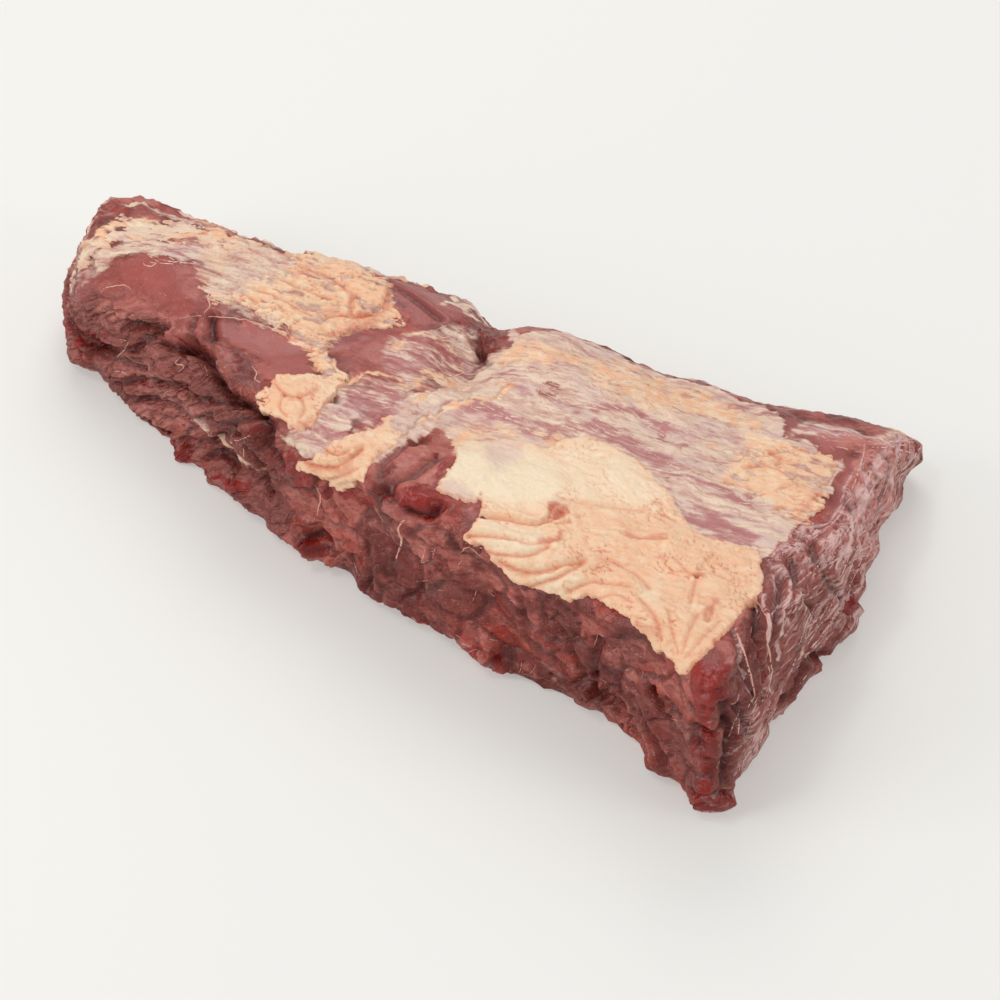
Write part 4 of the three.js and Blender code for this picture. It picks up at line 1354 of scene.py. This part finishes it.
KNOB_PAINT = {
    "peach": [area([(262, 390), (300, 380), (325, 395), (310, 422), (275, 415)], 10)],
    "red": [
        line([(285, 395), (300, 400), (318, 392)], 1.5, 3, 0.4),
        line([(300, 425), (312, 422)], 2, 3, 0.7),
    ],
    "fade": [line([(325, 378), (342, 384)], 4, 6, 0.6)],
}
FOLD_PAINT = {
    "peach": [area([(300, 465), (330, 448), (365, 440), (375, 455), (350, 482), (320, 478)], 10)],
    "red": [line([(308, 462), (326, 468), (346, 464), (362, 450)], 1.5, 2.5, 0.6)],
    "fade": [area([(392, 415), (440, 392), (505, 384), (495, 400), (440, 415), (400, 440)], 8, 0.75)],
}
BAND_PAINT = {
    "fade": [area([(72, 270), (90, 238), (120, 216), (262, 236), (262, 250), (120, 246),
                   (84, 275)], 4, 0.5)],
    "pale": [line([(84, 250), (118, 230), (160, 228), (205, 232), (245, 242)], 5, 4, 0.9)],
}


class Sheet:
    """A layer of fat on the lean: a fine grid over its outline in the picture, dropped onto the surface.

    Inside its torn outline it stands a little proud, and outside it sinks into the lean, so that its edge
    shows where it cuts the lean.
    """

    def __init__(self, name, edge, cell, from_above=False, ragged=1.0):
        self.name = name
        self.cell = cell
        self.from_above = from_above
        self.ragged = ragged
        self.edge = curve_through(edge, 4, closed=True)
        self.ground = STATE["ground"]
        if from_above:
            self.edge = np.array([self.ground.spot(p)[:2] for p in self.edge]) / MM
            self.unit = 1.0
        else:
            self.unit = CAMERA.focal / DISTANCE * MM  # pixels for each millimetre

    def drop(self, spot):
        if self.from_above:
            return self.ground.below(spot[0] * MM, spot[1] * MM)
        return self.ground.seen(spot)

    def grid(self):
        """A flat grid over the outline, and where its vertices lie in the picture or in the plan."""
        margin = SHEET_MARGIN * self.unit
        low, high = self.edge.min(0) - margin, self.edge.max(0) + margin
        step = self.cell / MM * self.unit
        counts = np.ceil((high - low) / step).astype(int)
        deselect()
        bpy.ops.mesh.primitive_grid_add(x_subdivisions=int(counts[0]), y_subdivisions=int(counts[1]), size=2)
        piece = bpy.context.object
        piece.name = piece.data.name = self.name
        return piece, low + (places(piece.data)[:, :2] + 1) / 2 * (high - low)

    def wrinkled(self, point, run, folds, pale, wrinkle):
        """The relief in millimetres, and 1 in the bottom of creases; smooth pale fat has fewer."""
        deep = wrinkle * (1 - 0.75 * pale)
        relief = 0.35 * lumps(point, 9, 2, 13.0)
        large = puffs(lumps(run, (11, 3.0, 4), 1, 14.0), 0.25)
        relief += deep * (large - 0.7)
        small = puffs(lumps(run, (5.5, 1.8, 2.5), 1, 18.0), 0.25)
        relief += 0.5 * deep * (small - 0.7) + 0.12 * lumps(point, 1.6, 2, 15.0)
        patchy = smooth(-0.1, 0.35, lumps(point, 13, 2, 19.0))
        seam = seams(pushed(point, 6, 3.0, 8.0), (6, 3.4, 4), 20.0, 0.07, 1) * patchy * (1 - pale)
        relief -= 0.45 * seam
        crease = smooth(0.3, 0.05, large) * min(1.0, wrinkle / 0.6) * (0.3 + 0.7 * patchy)
        crease *= 1 - 0.8 * pale
        crease = np.maximum(crease, 0.95 * seam)
        for pixels, width, depth in folds:
            gap = away(point, self.ground.track(pixels) / MM) / width
            pit, lip = crease_section(gap, 1.9)
            relief -= depth * pit
            relief += 0.45 * depth * lip
            crease = np.maximum(crease, min(1.0, 1.3 * depth) * np.exp(-(gap * 2.0) ** 2))
        return relief, crease

    def build(self, height, sink, folds, paints, wrinkle=0.25, fray=0.0, cover=9.0):
        """Makes the mesh; height and sink are in metres, wrinkle, fray and cover in millimetres.

        Wrinkle is how deep its wrinkles are, fray how far its edge is torn into strands, and cover how much
        of the lean it hides: below about 4 it wears through in places.
        """
        piece, spot = self.grid()
        mesh = piece.data
        dropped = [self.drop(s) for s in spot]
        missed = np.array([d is None for d in dropped])
        place = np.array([d[0] if d else (0, 0, 0) for d in dropped], float)
        normal = np.array([d[1] if d else (0, 0, 1) for d in dropped], float)
        point = place / MM

        depth = inside(spot, self.edge) / self.unit
        depth += self.ragged * (1.0 * lumps(point, 7, 2, 11.0) + 0.5 * lumps(point, 1.8, 2, 12.0))
        if self.from_above:
            depth = np.minimum(depth, (normal[:, 2] - LEAST_UPRIGHT) * 12)
        wander = pushed(point, 9, 3.0, 5.0)
        run = along_muscle(wander)
        depth += fray * lumps(run, (14, 2.6, 5), 3, 16.0)
        bare = smooth(0.8, -0.8, cover + 7.0 * lumps(run, (10, 3.2, 5), 3, 17.0))
        body = smooth(-0.7, 0.7, depth)
        marked = torn(CAMERA.pixels(place), point, 3.0)
        values = {name: paint(marked, paints.get(name, [])) for name in SHEET_PAINTS}
        fade = np.maximum(paint(marked, paints.get("fade", [])), 0.6 * bare)
        relief, crease = self.wrinkled(point, run, folds, values["pale"], wrinkle)
        stand = height * (1 - 0.7 * fade) + (relief - 0.4 * bare) * MM * smooth(0.0, 2.0, depth)
        out = -sink + (sink + stand) * body
        move_to(mesh, place + normal * out[:, None])

        values |= {"fade": fade, "bare": bare, "crease": crease, "thin": smooth(1.6, 0.0, depth) * 0.8}
        for name, value in values.items():
            keep_value(mesh, name, value)
        self.trim(piece, missed | (depth < -SHEET_HEM))
        apply(piece, "SOLIDIFY", thickness=SHEET_THICKNESS, offset=-1.0)
        return piece

    def trim(self, piece, unwanted):
        """Removes the vertices that belong to no layer, and turns the rest upwards."""
        edit(piece, "VERT", unwanted, bpy.ops.mesh.delete, type="VERT")
        everything = np.ones(len(piece.data.vertices), bool)
        edit(piece, "VERT", everything, bpy.ops.mesh.normals_make_consistent, inside=False)
        if sum(face.normal.z * face.area for face in piece.data.polygons) < 0:
            piece.data.flip_normals()


class BEEF_OT_fat_cap(bpy.types.Operator):
    """Lays the large cap of fat over the block, with its folds and its torn edge"""
    bl_idname = "beef.fat_cap"
    bl_label = "Fat cap"

    def execute(self, context):
        sizes = context.scene.beef_sizes
        sheet = Sheet("fat_cap", FAT_CAP_EDGE, sizes.cap_cell)
        piece = sheet.build(sizes.cap, sizes.sink, CAP_FOLDS, CAP_PAINT, 0.6, cover=15.0)
        STATE["fat"] = fat_finish(context.scene.beef_colours)
        finish_piece(piece, STATE["fat"])
        return {"FINISHED"}


# The smaller patches: name, outline, folds, paint, whether the patch is dropped from above, how ragged its
# edge is, its thickness in shares of the cap's, and its wrinkle, fray and cover in millimetres.
PATCHES = [
    ("far_fat", FAR_FAT_EDGE, FAR_FOLDS, FAR_PAINT, True, 1.6, 1.0, (0.45, 1.6, 4.0)),
    ("back_fat", BACK_FAT_EDGE, BACK_FOLDS, BACK_PAINT, True, 1.5, 1.0, (1.15, 2.0, 2.6)),
    ("knob_fat", KNOB_EDGE, KNOB_FOLDS, KNOB_PAINT, False, 1.1, 1.0, (0.6, 0.5, 9.0)),
    ("fold_fat", FOLD_EDGE, FOLD_FOLDS, FOLD_PAINT, False, 1.1, 1.0, (0.5, 0.8, 7.0)),
    ("tail_band", BAND_EDGE, [], BAND_PAINT, False, 1.0, 0.4, (0.3, 1.2, 3.0)),
]


class BEEF_OT_fat_patches(bpy.types.Operator):
    """Lays the smaller patches of fat on the tail and at the far corner of the block"""
    bl_idname = "beef.fat_patches"
    bl_label = "Fat patches"

    def execute(self, context):
        sizes = context.scene.beef_sizes
        for name, edge, folds, paints, from_above, ragged, thickness, worn in PATCHES:
            sheet = Sheet(name, edge, sizes.cap_cell, from_above, ragged)
            piece = sheet.build(thickness * sizes.cap, sizes.sink, folds, paints, *worn)
            finish_piece(piece, STATE["fat"])
        return {"FINISHED"}


def strands_in(fields, seed, curl):
    """Wandering strands over fields of the picture: each a line of pixels and a radius in millimetres."""
    draw = np.random.default_rng(seed)
    made = []
    for outline, count, heading, spread, shortest, longest, radius in fields:
        edge = np.array(outline, float)
        low, high = edge.min(0), edge.max(0)
        starts = draw.uniform(low, high, (count * 4, 2))
        for start in starts[inside(starts, edge) > 0][:count]:
            length = draw.uniform(shortest, longest)
            turn = math.radians(draw.normal(heading, spread))
            steps = max(4, round(length / STRAND_STEP))
            path = [start]
            for _ in range(steps):
                turn += draw.normal(0.0, curl)
                path.append(path[-1] + length / steps * np.array([math.cos(turn), -math.sin(turn)]))
            made.append((np.array(path), radius * draw.uniform(0.6, 1.3)))
    return made


def lay_strands(name, lines, material, sunk):
    """Lays lines of pixels on the lean as thin strands, sunk by a share of their radius, in one piece."""
    threads = bpy.data.curves.new(name, "CURVE")
    threads.dimensions = "3D"
    threads.bevel_depth = MM
    threads.bevel_resolution = 1
    threads.use_fill_caps = True
    for path, radius in lines:
        found = [STATE["lean"].seen(p) for p in path]
        found = [f for f in found if f]
        if len(found) < 4:
            continue
        spline = threads.splines.new("POLY")
        spline.points.add(len(found) - 1)
        for i, (place, normal) in enumerate(found):
            share = i / (len(found) - 1)
            thick = radius * (0.3 + 0.7 * math.sin(math.pi * min(max(share, 0.06), 0.94)) ** 0.6)
            thick *= 1 + 0.5 * noise.noise(place * 900)
            spline.points[i].co = (*(place - normal * thick * sunk * MM), 1)
            spline.points[i].radius = thick
    piece = bpy.data.objects.new(name, threads)
    bpy.context.scene.collection.objects.link(piece)
    take(piece)
    bpy.ops.object.convert(target="MESH")
    finish_piece(bpy.context.object, material)


class BEEF_OT_sinews(bpy.types.Operator):
    """Lays the pale threads of sinew and fascia on the lean"""
    bl_idname = "beef.sinews"
    bl_label = "Sinews"

    def execute(self, context):
        colours = context.scene.beef_colours
        lines = []
        for pixels, radius in SINEWS:
            path = curve_through(pixels, 6)
            path += 1.3 * np.array([noise.noise_vector((x / 5, y / 5, radius))[:2] for x, y in path.tolist()])
            lines.append((path, 0.75 * radius))
        lines += strands_in(SINEW_FIELDS, 3, 0.2)
        lay_strands("sinews", lines, strand_finish("raw_sinew", colours.sinew, colours.fascia), 0.6)
        return {"FINISHED"}


class BEEF_OT_film(bpy.types.Operator):
    """Lays the whitish strands of film on the butt end and the tan ones on the silverskin"""
    bl_idname = "beef.film"
    bl_label = "Film"

    def execute(self, context):
        colours = context.scene.beef_colours
        film = strand_finish("raw_film", colours.film_pale, colours.film)
        lay_strands("film", strands_in(FILM_FIELDS, 5, 0.07), film, 0.8)
        skin = strand_finish("raw_skin", colours.skin_pale, colours.silverskin)
        lay_strands("skin_strands", strands_in(SKIN_FIELDS, 9, 0.05), skin, 0.8)
        return {"FINISHED"}


PAPER = ink(196, 195, 191)
PAPER_GLOW = ink(251, 249, 246)
PAPER_GLOW_STRENGTH = 0.31
SKY_STRENGTH = 0.52
FLOOR_SIZE = 8

# Soft square lights that look at the meat: name, place, size in metres and power in watts.
SOFTBOXES = [
    ("overhead", (-0.5, 0.75, 1.2), 1.0, 9.0),
    ("front", (-0.55, -0.9, 0.5), 0.7, 5.0),
    ("rim", (1.0, 0.1, 0.4), 0.5, 2.2),
    ("glint", (-0.1, -0.5, 1.0), 0.15, 1.2),
]


def put_up(name, data, place, towards):
    """Puts up a light or a camera that looks in a direction."""
    holder = bpy.data.objects.new(name, data)
    bpy.context.scene.collection.objects.link(holder)
    holder.location = place
    holder.rotation_mode = "QUATERNION"
    holder.rotation_quaternion = towards.to_track_quat("-Z", "Y")
    return holder


class BEEF_OT_stage(bpy.types.Operator):
    """Sets the pale floor, the soft lights and the camera at the photograph's angle"""
    bl_idname = "beef.stage"
    bl_label = "Stage"

    def execute(self, context):
        scene = context.scene
        deselect()
        bpy.ops.mesh.primitive_plane_add(size=FLOOR_SIZE)
        floor = bpy.context.object
        floor.name = "floor"
        paper = Finish("pale_paper")
        paper.set(Base_Color=PAPER, Roughness=0.95, Specular_IOR_Level=0.0)
        paper.set(Emission_Color=PAPER_GLOW, Emission_Strength=PAPER_GLOW_STRENGTH)
        floor.data.materials.append(paper.material)

        scene.view_settings.view_transform = "Standard"
        world = bpy.data.worlds.new("studio")
        world.use_nodes = True
        sky = world.node_tree.nodes["Background"].inputs
        sky["Color"].default_value = (1.0, 1.0, 1.0, 1.0)
        sky["Strength"].default_value = SKY_STRENGTH
        scene.world = world
        for name, place, size, power in SOFTBOXES:
            light = bpy.data.lights.new(name, "AREA")
            light.shape = "SQUARE"
            light.size = size
            light.energy = power
            put_up(name, light, place, TARGET - Vector(place))

        camera = bpy.data.cameras.new("camera")
        camera.lens = LENS
        camera.sensor_width = SENSOR
        scene.camera = put_up("camera", camera, Vector(CAMERA.place), -Vector(CAMERA.back))
        return {"FINISHED"}


class BEEF_PT_panel(bpy.types.Panel):
    """Lists the sizes, the colours and the pieces"""
    bl_idname = "BEEF_PT_panel"
    bl_label = "Beef flap"
    bl_space_type = "VIEW_3D"
    bl_region_type = "UI"
    bl_category = "Beef flap"

    def draw(self, context):
        for group in (context.scene.beef_sizes, context.scene.beef_colours):
            for key in group.__annotations__:
                self.layout.prop(group, key)
        for operator in OPERATORS:
            self.layout.operator(operator.bl_idname)


OPERATORS = (BEEF_OT_lean, BEEF_OT_fat_cap, BEEF_OT_fat_patches, BEEF_OT_sinews, BEEF_OT_film, BEEF_OT_stage)
CLASSES = (BeefColours, BeefSizes, *OPERATORS, BEEF_PT_panel)


def register():
    for cls in CLASSES:
        bpy.utils.register_class(cls)
    bpy.types.Scene.beef_colours = bpy.props.PointerProperty(type=BeefColours)
    bpy.types.Scene.beef_sizes = bpy.props.PointerProperty(type=BeefSizes)


def unregister():
    del bpy.types.Scene.beef_sizes
    del bpy.types.Scene.beef_colours
    for cls in reversed(CLASSES):
        bpy.utils.unregister_class(cls)


def main():
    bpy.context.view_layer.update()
    noise.seed_set(NOISE_SEED)
    register()
    bpy.ops.beef.lean()
    bpy.ops.beef.fat_cap()
    bpy.ops.beef.fat_patches()
    bpy.ops.beef.sinews()
    bpy.ops.beef.film()
    bpy.ops.beef.stage()


if __name__ == "__main__":
    main()
